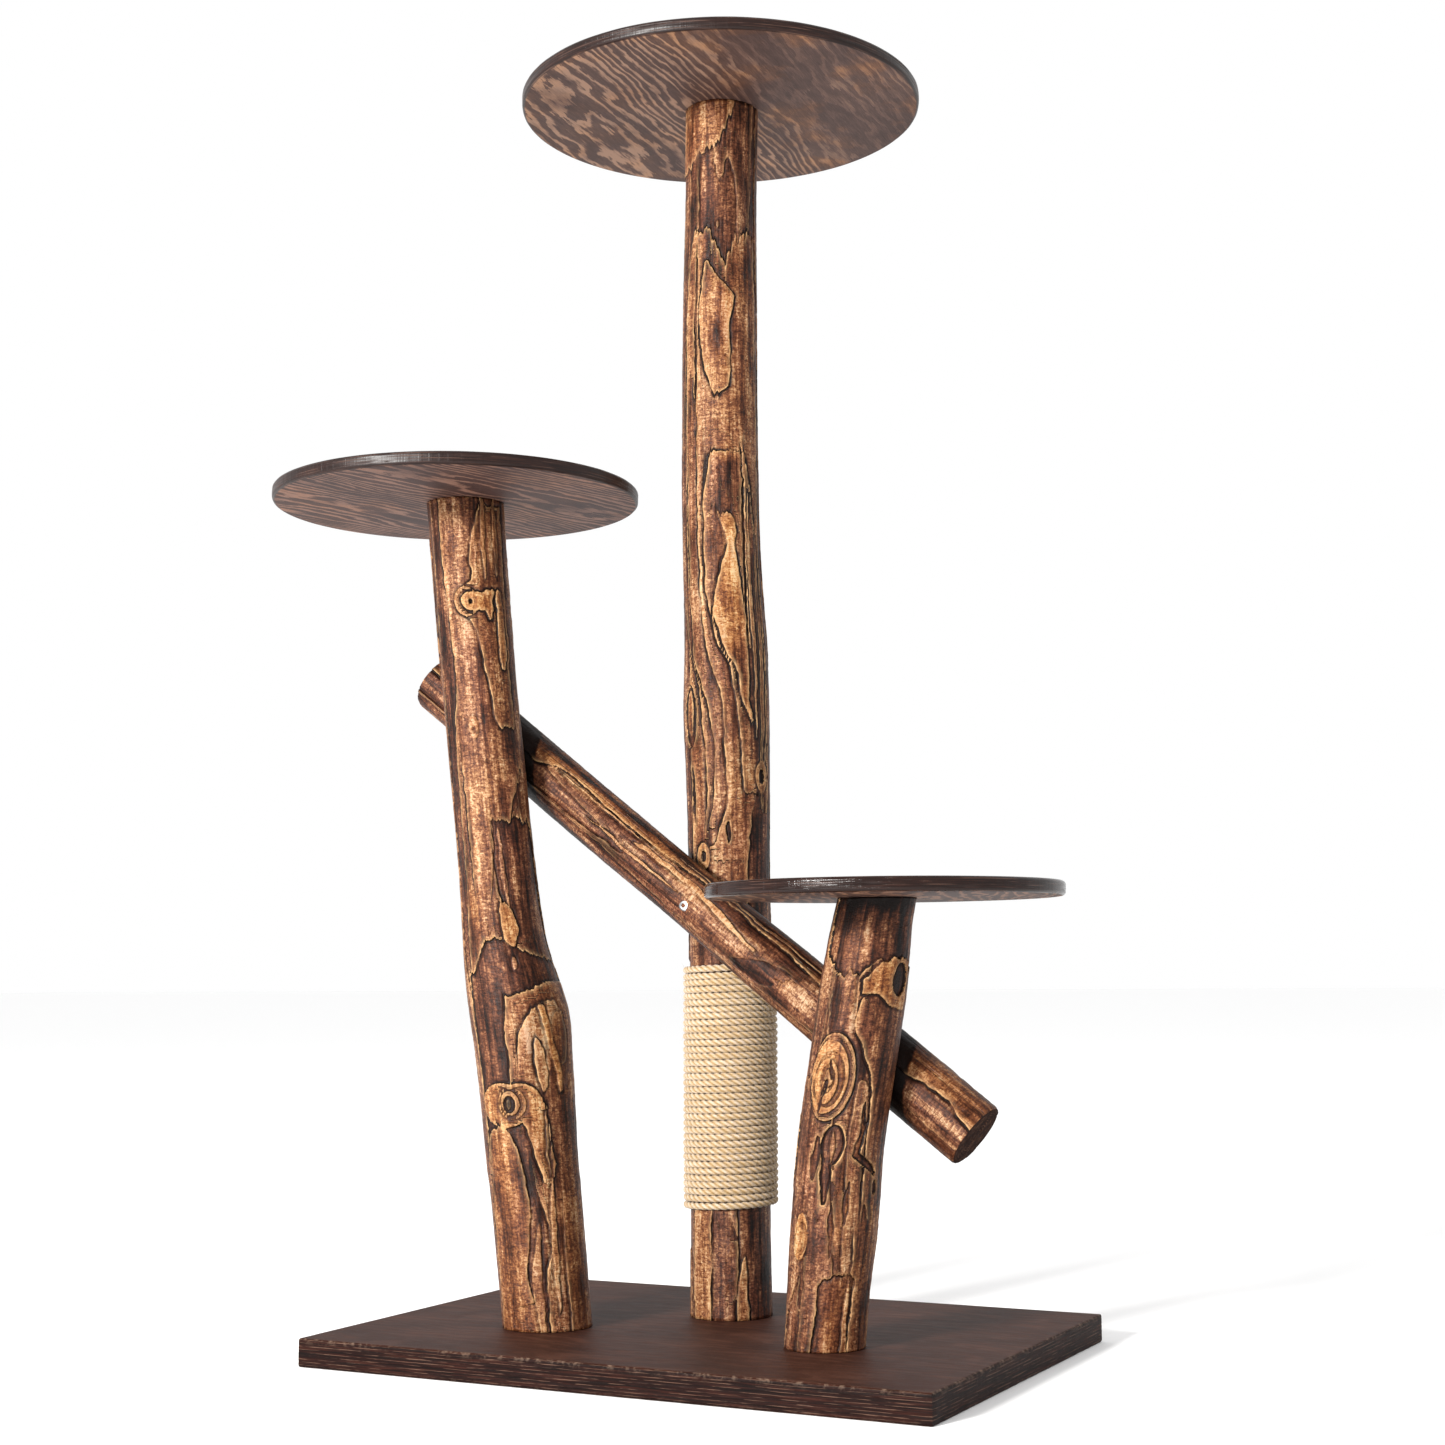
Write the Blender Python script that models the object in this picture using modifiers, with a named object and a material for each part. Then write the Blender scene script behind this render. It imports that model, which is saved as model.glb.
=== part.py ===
"""Log cat tree: three log posts on a plywood base, each carrying a round
plywood perch, with a diagonal log brace across them and a rope-wound
scratching length on the tallest post.

Frame: metres, +Z up.  The origin is the centre of the base's underside,
+X runs along the base's long side and -Y is the front.
"""

import math

import bmesh
import bpy
from mathutils import Vector

MM = 0.001
GAP = 0.3 * MM                      # clearance between pieces that touch

# ---- driving dimensions -------------------------------------------------
BASE_LENGTH = 600 * MM
BASE_WIDTH = 420 * MM
BASE_THICKNESS = 25 * MM
BASE_EDGE = 1.5 * MM
TOTAL_HEIGHT = 1200 * MM

PLATE_THICKNESS = 12.5 * MM
PLATE_EDGE = 2.5 * MM
PLATE_SIDES = 64

TOP_PLATE_RADIUS = 196 * MM
TOP_PLATE_CENTRE = (-11.5 * MM, 63.5 * MM)
TOP_PLATE_UNDERSIDE = TOTAL_HEIGHT - PLATE_THICKNESS

MIDDLE_PLATE_RADIUS = 175.5 * MM
MIDDLE_PLATE_CENTRE = (-238 * MM, -61 * MM)
MIDDLE_PLATE_UNDERSIDE = 792.5 * MM

LOW_PLATE_RADIUS = 154.5 * MM
LOW_PLATE_CENTRE = (201.5 * MM, -57 * MM)
LOW_PLATE_UNDERSIDE = 404.5 * MM

LOG_SIDES = 24

# Stations of each log: (height, axis offset along X, radius), from the cut
# at the base to the cut under the perch.
MAIN_POST_Y = 63.5 * MM
MAIN_POST = (
    (25, -10.5, 38.4),
    (110, -10.3, 38.3),
    (350, -9.0, 38.3),
    (460, -8.5, 38.6),
    (530, -8.9, 39.8),
    (590, -9.8, 41.2),
    (640, -9.9, 40.1),
    (700, -13.0, 38.6),
    (760, -15.0, 37.5),
    (880, -15.5, 36.7),
    (1000, -13.9, 36.0),
    (1090, -12.2, 34.9),
    (1187.5, -10.4, 35.3),
)

LEFT_POST_Y = -61 * MM
LEFT_POST = (
    (25, -134.5, 40.3),
    (100, -142.2, 40.8),
    (180, -150.9, 42.3),
    (260, -159.6, 43.9),
    (310, -166.2, 45.2),
    (345, -175.0, 41.6),
    (370, -181.0, 38.5),
    (405, -186.2, 36.6),
    (450, -191.6, 36.1),
    (660, -216.0, 35.8),
    (745, -224.5, 36.1),
    (792.5, -228.2, 37.3),
)

RIGHT_POST_Y = -57 * MM
RIGHT_POST = (
    (25, 139.9, 34.6),
    (75, 144.6, 35.3),
    (120, 150.0, 37.2),
    (190, 157.2, 36.7),
    (280, 172.4, 37.4),
    (350, 185.2, 36.8),
    (385, 191.3, 34.9),
    (404.5, 196.0, 34.3),
)

# Brace log: axis from the upper left end to the lower right end, in a plane
# parallel to the front, and its radius at fractions of its length.
BRACE_Y = 2 * MM
BRACE_UPPER_END = Vector((-302.0 * MM, BRACE_Y, 629.5 * MM))
BRACE_LOWER_END = Vector((258.0 * MM, BRACE_Y, 200.0 * MM))
BRACE = (
    (0.0, 28.4),
    (0.25, 27.2),
    (0.5, 27.2),
    (0.75, 28.9),
    (1.0, 30.2),
)
BRACE_END_ROUNDING = 1.2 * MM

# Sisal rope wound on the main post.
ROPE_DIAMETER = 5.95 * MM
ROPE_PITCH = 6.2 * MM
ROPE_TURNS = 36
ROPE_START_HEIGHT = 125.2 * MM
ROPE_POINTS_PER_TURN = 12
ROPE_END_SPREAD = 1.6 * MM          # extra space beside each end turn
ROPE_END_ANGLE = math.radians(90)   # both ends lie at the back

STAPLE_WIRE = 1.0 * MM
STAPLE_DEPTH = 9 * MM               # how far the legs go into the post
STAPLE_SET_BACK = math.radians(13)  # from the rope's cut end

# Furniture bolts and the threaded inserts they run into.
BOLT_SHANK_RADIUS = 4.0 * MM
BOLT_CLEARANCE_RADIUS = 4.4 * MM
BOLT_HEAD_RADIUS = 8.5 * MM
BOLT_HEAD_HEIGHT = 3.0 * MM
COUNTERBORE_RADIUS = 9.2 * MM
BASE_COUNTERBORE = 4.5 * MM
PLATE_COUNTERBORE = 3.8 * MM
BASE_BOLT_REACH = 34 * MM           # length inside the post
PLATE_BOLT_REACH = 30 * MM
INSERT_RADIUS = 6.0 * MM
INSERT_BORE_RADIUS = 4.4 * MM
INSERT_LENGTH = 20 * MM
INSERT_SET_IN = 1.2 * MM
INSERT_HOLE_RADIUS = 6.4 * MM
HEX_SOCKET_WIDTH = 5.0 * MM
HEX_SOCKET_DEPTH = 2.0 * MM

# Countersunk wood screws that stop each perch turning on its bolt.
SCREW_SHANK_RADIUS = 2.1 * MM
SCREW_HOLE_RADIUS = 2.5 * MM
SCREW_HEAD_RADIUS = 4.2 * MM
SCREW_HEAD_HEIGHT = 2.6 * MM
SCREW_TIP_LENGTH = 5 * MM
SCREW_REACH = 24 * MM
SCREW_SPACING = 21 * MM             # from the bolt, along X
SCREW_SUNK = 0.2 * MM               # head below the perch's top face
SCREW_SEAT_SLACK = 2 * GAP          # between the head's cone and its seat
SCREW_RECESS = (4.6 * MM, 1.0 * MM, 1.5 * MM)   # cross recess: arm, width, depth

# Dome-headed bolts that pin the brace to the posts.
BRACE_BOLT_RADIUS = 2.9 * MM
BRACE_BOLT_HOLE_RADIUS = 3.3 * MM
BRACE_BOLT_HEAD_RADIUS = 5.6 * MM
BRACE_BOLT_HEAD_HEIGHT = 3.4 * MM
BRACE_BOLT_RECESS_RADIUS = 6.5 * MM
BRACE_BOLT_RECESS = 3.4 * MM
BRACE_BOLT_SOCKET_WIDTH = 4.0 * MM
BRACE_BOLT_RIM = 0.3                # share of the head's height below its dome
BRACE_BOLT_LENGTH = 86 * MM
BRACE_BOLT_AT_MAIN = (-11 * MM, 403 * MM)
BRACE_BOLT_AT_LEFT = (-204 * MM, 554 * MM)
BRACE_BOLT_AT_RIGHT = (170 * MM, 267.5 * MM)

ROUND_STEPS = 16                    # segments of turned hardware
CUT_MARGIN = 3 * MM                 # how far a cutter runs past a face


# ---- scene --------------------------------------------------------------
def clear_scene():
    for obj in list(bpy.data.objects):
        bpy.data.objects.remove(obj, do_unlink=True)


def new_collection(name):
    collection = bpy.data.collections.new(name)
    bpy.context.scene.collection.children.link(collection)
    return collection


def make_material(name, colour, roughness, metallic=0.0):
    material = bpy.data.materials.new(name)
    material.use_nodes = True
    shader = material.node_tree.nodes["Principled BSDF"]
    shader.inputs["Base Color"].default_value = (*colour, 1.0)
    shader.inputs["Roughness"].default_value = roughness
    shader.inputs["Metallic"].default_value = metallic
    return material


class Model:
    """The collections, the parent empty and the colours of the cat tree."""

    def __init__(self):
        self.parts = new_collection("cat_tree")
        self.cutters = new_collection("cutters")
        self.parent = bpy.data.objects.new("cat_tree_frame", None)
        self.parts.objects.link(self.parent)

    def add(self, name, data, colour, roughness, metallic=0.0):
        obj = bpy.data.objects.new(name, data)
        self.parts.objects.link(obj)
        obj.parent = self.parent
        data.materials.append(make_material(name, colour, roughness, metallic))
        return obj

    def add_cutter(self, name, mesh):
        obj = bpy.data.objects.new(name, mesh)
        self.cutters.objects.link(obj)
        obj.hide_render = True
        obj.display_type = "WIRE"
        return obj


LOG_BROWN = (0.19, 0.085, 0.04)
PLY_BROWN = (0.07, 0.035, 0.022)
ROPE_CREAM = (0.66, 0.54, 0.33)
ZINC = (0.72, 0.73, 0.74)
INSERT_ALLOY = (0.62, 0.58, 0.52)


# ---- shape helpers ------------------------------------------------------
def mesh_from_bmesh(name, bm, smooth_angle=math.radians(35)):
    bmesh.ops.recalc_face_normals(bm, faces=bm.faces)
    mesh = bpy.data.meshes.new(name)
    bm.to_mesh(mesh)
    bm.free()
    mesh.shade_smooth()
    mesh.set_sharp_from_angle(angle=smooth_angle)
    return mesh


def loft_mesh(name, rings):
    """Closed solid through rings of points that have equal counts."""
    bm = bmesh.new()
    loops = [[bm.verts.new(point) for point in ring] for ring in rings]
    count = len(loops[0])
    for lower, upper in zip(loops, loops[1:]):
        for i in range(count):
            j = (i + 1) % count
            bm.faces.new((lower[i], lower[j], upper[j], upper[i]))
    bm.faces.new(list(reversed(loops[0])))
    bm.faces.new(loops[-1])
    return mesh_from_bmesh(name, bm)


def smooth_value(stations, position, column):
    """Cubic (Catmull-Rom) value of one column of the stations."""
    last = len(stations) - 1
    span = 0
    while span < last - 1 and position > stations[span + 1][0]:
        span += 1
    left, right = stations[span], stations[span + 1]
    before = stations[max(span - 1, 0)]
    after = stations[min(span + 2, last)]
    width = right[0] - left[0]
    t = (position - left[0]) / width
    slope_in = (right[column] - before[column]) / (right[0] - before[0]) * width
    slope_out = (after[column] - left[column]) / (after[0] - left[0]) * width
    return (
        (2 * t**3 - 3 * t**2 + 1) * left[column]
        + (t**3 - 2 * t**2 + t) * slope_in
        + (3 * t**2 - 2 * t**3) * right[column]
        + (t**3 - t**2) * slope_out
    )


def post_section(stations, height):
    """Axis offset along X and radius of a post at a height, in metres."""
    position = height / MM
    axis_x = smooth_value(stations, position, 1) * MM
    radius = smooth_value(stations, position, 2) * MM
    return axis_x, radius


def post_heights(stations, low, high):
    """Ring heights: both cuts, each station, and one between far stations."""
    heights = [low]
    inner = [s[0] * MM for s in stations if low + MM < s[0] * MM < high - MM]
    for height in inner + [high]:
        if height - heights[-1] > 70 * MM:
            heights.append((height + heights[-1]) / 2)
        heights.append(height)
    return heights


def post_mesh(name, stations, y, low, high, grow=0.0):
    rings = []
    for height in post_heights(stations, low, high):
        axis_x, radius = post_section(stations, height)
        ring = []
        for i in range(LOG_SIDES):
            angle = 2 * math.pi * i / LOG_SIDES
            ring.append((
                axis_x + (radius + grow) * math.cos(angle),
                y + (radius + grow) * math.sin(angle),
                height,
            ))
        rings.append(ring)
    return loft_mesh(name, rings)


def turned_mesh(name, profile, closed=False, steps=ROUND_STEPS):
    """Solid of revolution about Z: (radius, height) points run down the
    outer side; a closed profile makes a sleeve."""
    mesh = bpy.data.meshes.new(name + "_profile")
    count = len(profile)
    edges = [(i, i + 1) for i in range(count - 1)]
    if closed:
        edges.append((count - 1, 0))
    mesh.from_pydata([(r, 0.0, z) for r, z in profile], edges, [])
    holder = bpy.data.objects.new(name + "_profile", mesh)
    bpy.context.scene.collection.objects.link(holder)
    screw = holder.modifiers.new("Turn", "SCREW")
    screw.steps = steps
    screw.render_steps = steps
    screw.use_merge_vertices = True
    screw.merge_threshold = 0.00001
    bpy.context.view_layer.update()
    evaluated = holder.evaluated_get(bpy.context.evaluated_depsgraph_get())
    solid = bpy.data.meshes.new_from_object(evaluated)
    solid.name = name
    bpy.data.objects.remove(holder, do_unlink=True)
    solid.shade_smooth()
    solid.set_sharp_from_angle(angle=math.radians(35))
    return solid


def cut(model, target, mesh, location, rotation=(0.0, 0.0, 0.0)):
    """Take a cutter's shape away from the target."""
    cutter = model.add_cutter(mesh.name, mesh)
    cutter.location = location
    cutter.rotation_euler = rotation
    modifier = target.modifiers.new(mesh.name, "BOOLEAN")
    modifier.operation = "DIFFERENCE"
    modifier.solver = "EXACT"
    modifier.object = cutter


def cylinder_cutter(name, radius, low, high, steps=ROUND_STEPS):
    profile = ((0.0, high), (radius, high), (radius, low), (0.0, low))
    return turned_mesh(name, profile, steps=steps)


def hex_cutter(name, width, low, high):
    corner = width / math.sqrt(3.0)
    return cylinder_cutter(name, corner, low, high, steps=6)


# ---- base and perches ---------------------------------------------------
def make_base(model):
    bm = bmesh.new()
    bmesh.ops.create_cube(bm, size=1.0)
    bmesh.ops.scale(
        bm, vec=(BASE_LENGTH, BASE_WIDTH, BASE_THICKNESS), verts=bm.verts
    )
    bmesh.ops.translate(bm, vec=(0, 0, BASE_THICKNESS / 2), verts=bm.verts)
    base = model.add("base_board", mesh_from_bmesh("base_board", bm), PLY_BROWN, 0.55)
    bevel = base.modifiers.new("Worn edge", "BEVEL")
    bevel.width = BASE_EDGE
    bevel.segments = 2
    return base


def make_plate(model, name, centre, underside, radius):
    half = PLATE_THICKNESS / 2
    bm = bmesh.new()
    bmesh.ops.create_cone(
        bm, cap_ends=True, segments=PLATE_SIDES,
        radius1=radius, radius2=radius, depth=PLATE_THICKNESS,
    )
    plate = model.add(name, mesh_from_bmesh(name, bm), PLY_BROWN, 0.45)
    plate.location = (centre[0], centre[1], underside + half)
    bevel = plate.modifiers.new("Rounded rim", "BEVEL")
    bevel.width = PLATE_EDGE
    bevel.segments = 1
    bevel.limit_method = "ANGLE"
    return plate


# ---- logs ---------------------------------------------------------------
def make_post(model, name, stations, y, plate_underside):
    low = BASE_THICKNESS + GAP
    high = plate_underside - GAP
    mesh = post_mesh(name, stations, y, low, high)
    return model.add(name, mesh, LOG_BROWN, 0.5)


def brace_mesh():
    axis = BRACE_LOWER_END - BRACE_UPPER_END
    direction = axis.normalized()
    side = Vector((0.0, 1.0, 0.0))
    up = direction.cross(side)
    rounding = BRACE_END_ROUNDING / axis.length
    spacing = 10
    fractions = [0.0, rounding]
    fractions += [(i + 1) / spacing for i in range(spacing - 1)]
    fractions += [1.0 - rounding, 1.0]
    rings = []
    for fraction in fractions:
        radius = smooth_value(BRACE, fraction, 1) * MM
        if fraction in (0.0, 1.0):
            radius -= BRACE_END_ROUNDING
        centre = BRACE_UPPER_END + axis * fraction
        ring = []
        for i in range(LOG_SIDES):
            angle = 2 * math.pi * i / LOG_SIDES
            offset = side * math.cos(angle) + up * math.sin(angle)
            ring.append(centre + offset * radius)
        rings.append(ring)
    return loft_mesh("brace_log", rings)


def make_brace(model):
    """The brace, hollowed where it beds against each post."""
    brace = model.add("brace_log", brace_mesh(), LOG_BROWN, 0.5)
    beds = (
        ("bed_on_main_post", MAIN_POST, MAIN_POST_Y, TOP_PLATE_UNDERSIDE),
        ("bed_on_left_post", LEFT_POST, LEFT_POST_Y, MIDDLE_PLATE_UNDERSIDE),
        ("bed_on_right_post", RIGHT_POST, RIGHT_POST_Y, LOW_PLATE_UNDERSIDE),
    )
    for name, stations, y, high in beds:
        mesh = post_mesh(name, stations, y, BASE_THICKNESS, high, grow=GAP)
        cut(model, brace, mesh, (0, 0, 0))
    return brace


# ---- rope and its staples -----------------------------------------------
def rope_radius_at_axis():
    """Radius of the rope's centre line about the post's axis.  Straight
    chords between the points pass nearer to the post than the points do."""
    post_radius = post_section(MAIN_POST, ROPE_START_HEIGHT)[1]
    chord_mid = post_radius + GAP + ROPE_DIAMETER / 2
    return chord_mid / math.cos(math.pi / ROPE_POINTS_PER_TURN)


def ease(t):
    t = min(max(t, 0.0), 1.0)
    return t * t * (3.0 - 2.0 * t)


def rope_height(turn):
    """Height of the centre line after some turns; the end turns stand off."""
    spread_low = ROPE_END_SPREAD * (1.0 - ease(turn))
    spread_high = ROPE_END_SPREAD * ease(turn - (ROPE_TURNS - 1))
    return ROPE_START_HEIGHT + ROPE_PITCH * turn - spread_low + spread_high


def rope_point(turn, radius):
    height = rope_height(turn)
    axis_x = post_section(MAIN_POST, height)[0]
    angle = ROPE_END_ANGLE + 2 * math.pi * turn
    return Vector((
        axis_x + radius * math.cos(angle),
        MAIN_POST_Y + radius * math.sin(angle),
        height,
    ))


def wire_curve(name, points, diameter):
    curve = bpy.data.curves.new(name, "CURVE")
    curve.dimensions = "3D"
    curve.bevel_depth = diameter / 2
    curve.bevel_resolution = 2
    curve.use_fill_caps = True
    spline = curve.splines.new("POLY")
    spline.points.add(len(points) - 1)
    for target, point in zip(spline.points, points):
        target.co = (*point, 1.0)
    return curve


def make_rope(model):
    radius = rope_radius_at_axis()
    count = ROPE_TURNS * ROPE_POINTS_PER_TURN
    points = [
        rope_point(i / ROPE_POINTS_PER_TURN, radius) for i in range(count + 1)
    ]
    curve = wire_curve("sisal_rope", points, ROPE_DIAMETER)
    return model.add("sisal_rope", curve, ROPE_CREAM, 0.9)


def make_staple(model, main_post, name, turn):
    """A wire staple over the rope, with both legs in the post."""
    centre = rope_point(turn, 0.0)
    angle = ROPE_END_ANGLE + 2 * math.pi * turn
    outward = Vector((math.cos(angle), math.sin(angle), 0.0))
    post_radius = post_section(MAIN_POST, centre.z)[1]
    crown = rope_radius_at_axis() + (ROPE_DIAMETER + STAPLE_WIRE) / 2 + GAP
    tip = post_radius - STAPLE_DEPTH
    half = (ROPE_DIAMETER + STAPLE_WIRE) / 2 + GAP
    corner = STAPLE_WIRE
    route = (
        (tip, -half),
        (crown - corner, -half),
        (crown, corner - half),
        (crown, half - corner),
        (crown - corner, half),
        (tip, half),
    )
    points = [centre + outward * r + Vector((0, 0, z)) for r, z in route]
    curve = wire_curve(name, points, STAPLE_WIRE)
    model.add(name, curve, ZINC, 0.3, 1.0)

    for label, z in (("lower", -half), ("upper", half)):
        hole = cylinder_cutter(
            f"{name}_{label}_leg_hole", STAPLE_WIRE / 2 + GAP,
            tip - MM, crown, steps=8,
        )
        cut(
            model, main_post, hole, centre + Vector((0, 0, z)),
            (0.0, math.pi / 2, angle),
        )


# ---- fasteners ----------------------------------------------------------
def bolt_mesh(name, length):
    """Flat-headed bolt: the head's outer face at z = 0, shank downwards."""
    chamfer = 0.6 * MM
    return turned_mesh(name, (
        (0.0, 0.0),
        (BOLT_HEAD_RADIUS - chamfer, 0.0),
        (BOLT_HEAD_RADIUS, -chamfer),
        (BOLT_HEAD_RADIUS, -BOLT_HEAD_HEIGHT),
        (BOLT_SHANK_RADIUS, -BOLT_HEAD_HEIGHT),
        (BOLT_SHANK_RADIUS, -length + chamfer),
        (BOLT_SHANK_RADIUS - chamfer, -length),
        (0.0, -length),
    ))


def counterbore_mesh(name, depth, thickness):
    """Cutter for a bolt's seat and clearance hole; the face is at z = 0."""
    return turned_mesh(name, (
        (0.0, CUT_MARGIN),
        (COUNTERBORE_RADIUS, CUT_MARGIN),
        (COUNTERBORE_RADIUS, -depth),
        (BOLT_CLEARANCE_RADIUS, -depth),
        (BOLT_CLEARANCE_RADIUS, -thickness - CUT_MARGIN),
        (0.0, -thickness - CUT_MARGIN),
    ))


def insert_mesh(name):
    """Threaded sleeve, from z = 0 down."""
    return turned_mesh(name, (
        (INSERT_BORE_RADIUS, 0.0),
        (INSERT_RADIUS, 0.0),
        (INSERT_RADIUS, -INSERT_LENGTH),
        (INSERT_BORE_RADIUS, -INSERT_LENGTH),
    ), closed=True)


def make_bolted_joint(model, label, board, post, place, outer_face, upward,
                      thickness, counterbore, reach):
    """A bolt through a board into the insert at the end of a post.  place
    is the (x, y) of the bolt, outer_face the height of the board's face that
    the head sits in, and upward is True where that face looks up."""
    turn = (0.0, 0.0, 0.0) if upward else (math.pi, 0.0, 0.0)
    sign = 1.0 if upward else -1.0
    face = (*place, outer_face)
    post_end = outer_face - sign * thickness

    cut(model, board, counterbore_mesh(f"{label}_seat", counterbore, thickness),
        face, turn)
    head_drop = counterbore - BOLT_HEAD_HEIGHT - GAP
    length = thickness + reach - head_drop
    bolt = model.add(f"{label}_bolt", bolt_mesh(f"{label}_bolt", length),
                     ZINC, 0.3, 1.0)
    bolt.location = (*place, outer_face - sign * head_drop)
    bolt.rotation_euler = turn
    socket = hex_cutter(f"{label}_bolt_socket", HEX_SOCKET_WIDTH,
                        -HEX_SOCKET_DEPTH, CUT_MARGIN)
    cut(model, bolt, socket, bolt.location, turn)

    insert = model.add(f"{label}_insert", insert_mesh(f"{label}_insert"),
                       INSERT_ALLOY, 0.35, 1.0)
    insert.location = (*place, post_end - sign * INSERT_SET_IN)
    insert.rotation_euler = turn
    hole = cylinder_cutter(f"{label}_insert_hole", INSERT_HOLE_RADIUS,
                           -reach - CUT_MARGIN, CUT_MARGIN)
    cut(model, post, hole, (*place, post_end), turn)


def make_plate_screw(model, name, plate, post, place, top):
    """Countersunk screw down through a perch into the end of its post."""
    length = PLATE_THICKNESS + SCREW_REACH
    mesh = turned_mesh(name, (
        (0.0, 0.0),
        (SCREW_HEAD_RADIUS, 0.0),
        (SCREW_SHANK_RADIUS, -SCREW_HEAD_HEIGHT),
        (SCREW_SHANK_RADIUS, -length + SCREW_TIP_LENGTH),
        (0.0, -length),
    ), steps=16)
    screw = model.add(name, mesh, ZINC, 0.35, 1.0)
    screw.location = (*place, top - SCREW_SUNK)
    arm, width, depth = SCREW_RECESS
    for label, size in (("along", (arm, width)), ("across", (width, arm))):
        bm = bmesh.new()
        bmesh.ops.create_cube(bm, size=1.0)
        bmesh.ops.scale(bm, vec=(*size, 2 * depth), verts=bm.verts)
        slot = mesh_from_bmesh(f"{name}_recess_{label}", bm)
        cut(model, screw, slot, screw.location)

    wide = SCREW_HEAD_RADIUS + SCREW_SEAT_SLACK
    narrow = SCREW_HOLE_RADIUS
    seat = turned_mesh(f"{name}_countersink", (
        (0.0, CUT_MARGIN),
        (wide, CUT_MARGIN),
        (wide, -SCREW_SUNK),
        (narrow, -SCREW_SUNK - SCREW_HEAD_HEIGHT - SCREW_SEAT_SLACK),
        (narrow, -PLATE_THICKNESS - CUT_MARGIN),
        (0.0, -PLATE_THICKNESS - CUT_MARGIN),
    ), steps=16)
    cut(model, plate, seat, (*place, top))
    pilot = cylinder_cutter(f"{name}_pilot", SCREW_HOLE_RADIUS,
                            -SCREW_REACH - MM, CUT_MARGIN, steps=16)
    cut(model, post, pilot, (*place, top - PLATE_THICKNESS))


def make_brace_bolt(model, name, brace, post, place, from_front):
    """Dome-headed bolt through the brace into a post, parallel to Y."""
    sign = 1.0 if from_front else -1.0
    turn = (math.pi / 2, 0.0, 0.0) if from_front else (-math.pi / 2, 0.0, 0.0)
    fraction = (place[0] - BRACE_UPPER_END.x) / (BRACE_LOWER_END.x - BRACE_UPPER_END.x)
    surface = BRACE_Y - sign * smooth_value(BRACE, fraction, 1) * MM
    seat_y = surface + sign * BRACE_BOLT_RECESS
    dome_steps = 4
    dome = []
    for i in range(dome_steps + 1):
        angle = math.pi / 2 * (1.0 - i / dome_steps)
        dome.append((
            BRACE_BOLT_HEAD_RADIUS * math.cos(angle),
            BRACE_BOLT_HEAD_HEIGHT
            * (BRACE_BOLT_RIM + (1.0 - BRACE_BOLT_RIM) * math.sin(angle)),
        ))
    mesh = turned_mesh(name, (
        *dome,
        (BRACE_BOLT_HEAD_RADIUS, 0.0),
        (BRACE_BOLT_RADIUS, 0.0),
        (BRACE_BOLT_RADIUS, -BRACE_BOLT_LENGTH + SCREW_TIP_LENGTH),
        (0.0, -BRACE_BOLT_LENGTH),
    ))
    bolt = model.add(name, mesh, ZINC, 0.2, 1.0)
    bolt.location = (place[0], seat_y - sign * GAP, place[1])
    bolt.rotation_euler = turn
    socket = hex_cutter(f"{name}_socket", BRACE_BOLT_SOCKET_WIDTH,
                        BRACE_BOLT_HEAD_HEIGHT - HEX_SOCKET_DEPTH,
                        BRACE_BOLT_HEAD_HEIGHT + CUT_MARGIN)
    cut(model, bolt, socket, bolt.location, turn)

    recess_reach = 2 * BRACE_BOLT_RECESS + CUT_MARGIN
    through = 2 * max(radius for _, radius in BRACE) * MM
    seat = turned_mesh(f"{name}_seat", (
        (0.0, recess_reach),
        (BRACE_BOLT_RECESS_RADIUS, recess_reach),
        (BRACE_BOLT_RECESS_RADIUS, 0.0),
        (BRACE_BOLT_HOLE_RADIUS, 0.0),
        (BRACE_BOLT_HOLE_RADIUS, -through),
        (0.0, -through),
    ))
    cut(model, brace, seat, (place[0], seat_y, place[1]), turn)
    pilot = cylinder_cutter(f"{name}_pilot", BRACE_BOLT_HOLE_RADIUS,
                            -BRACE_BOLT_LENGTH - MM, 0.0)
    cut(model, post, pilot, (place[0], seat_y, place[1]), turn)


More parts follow.
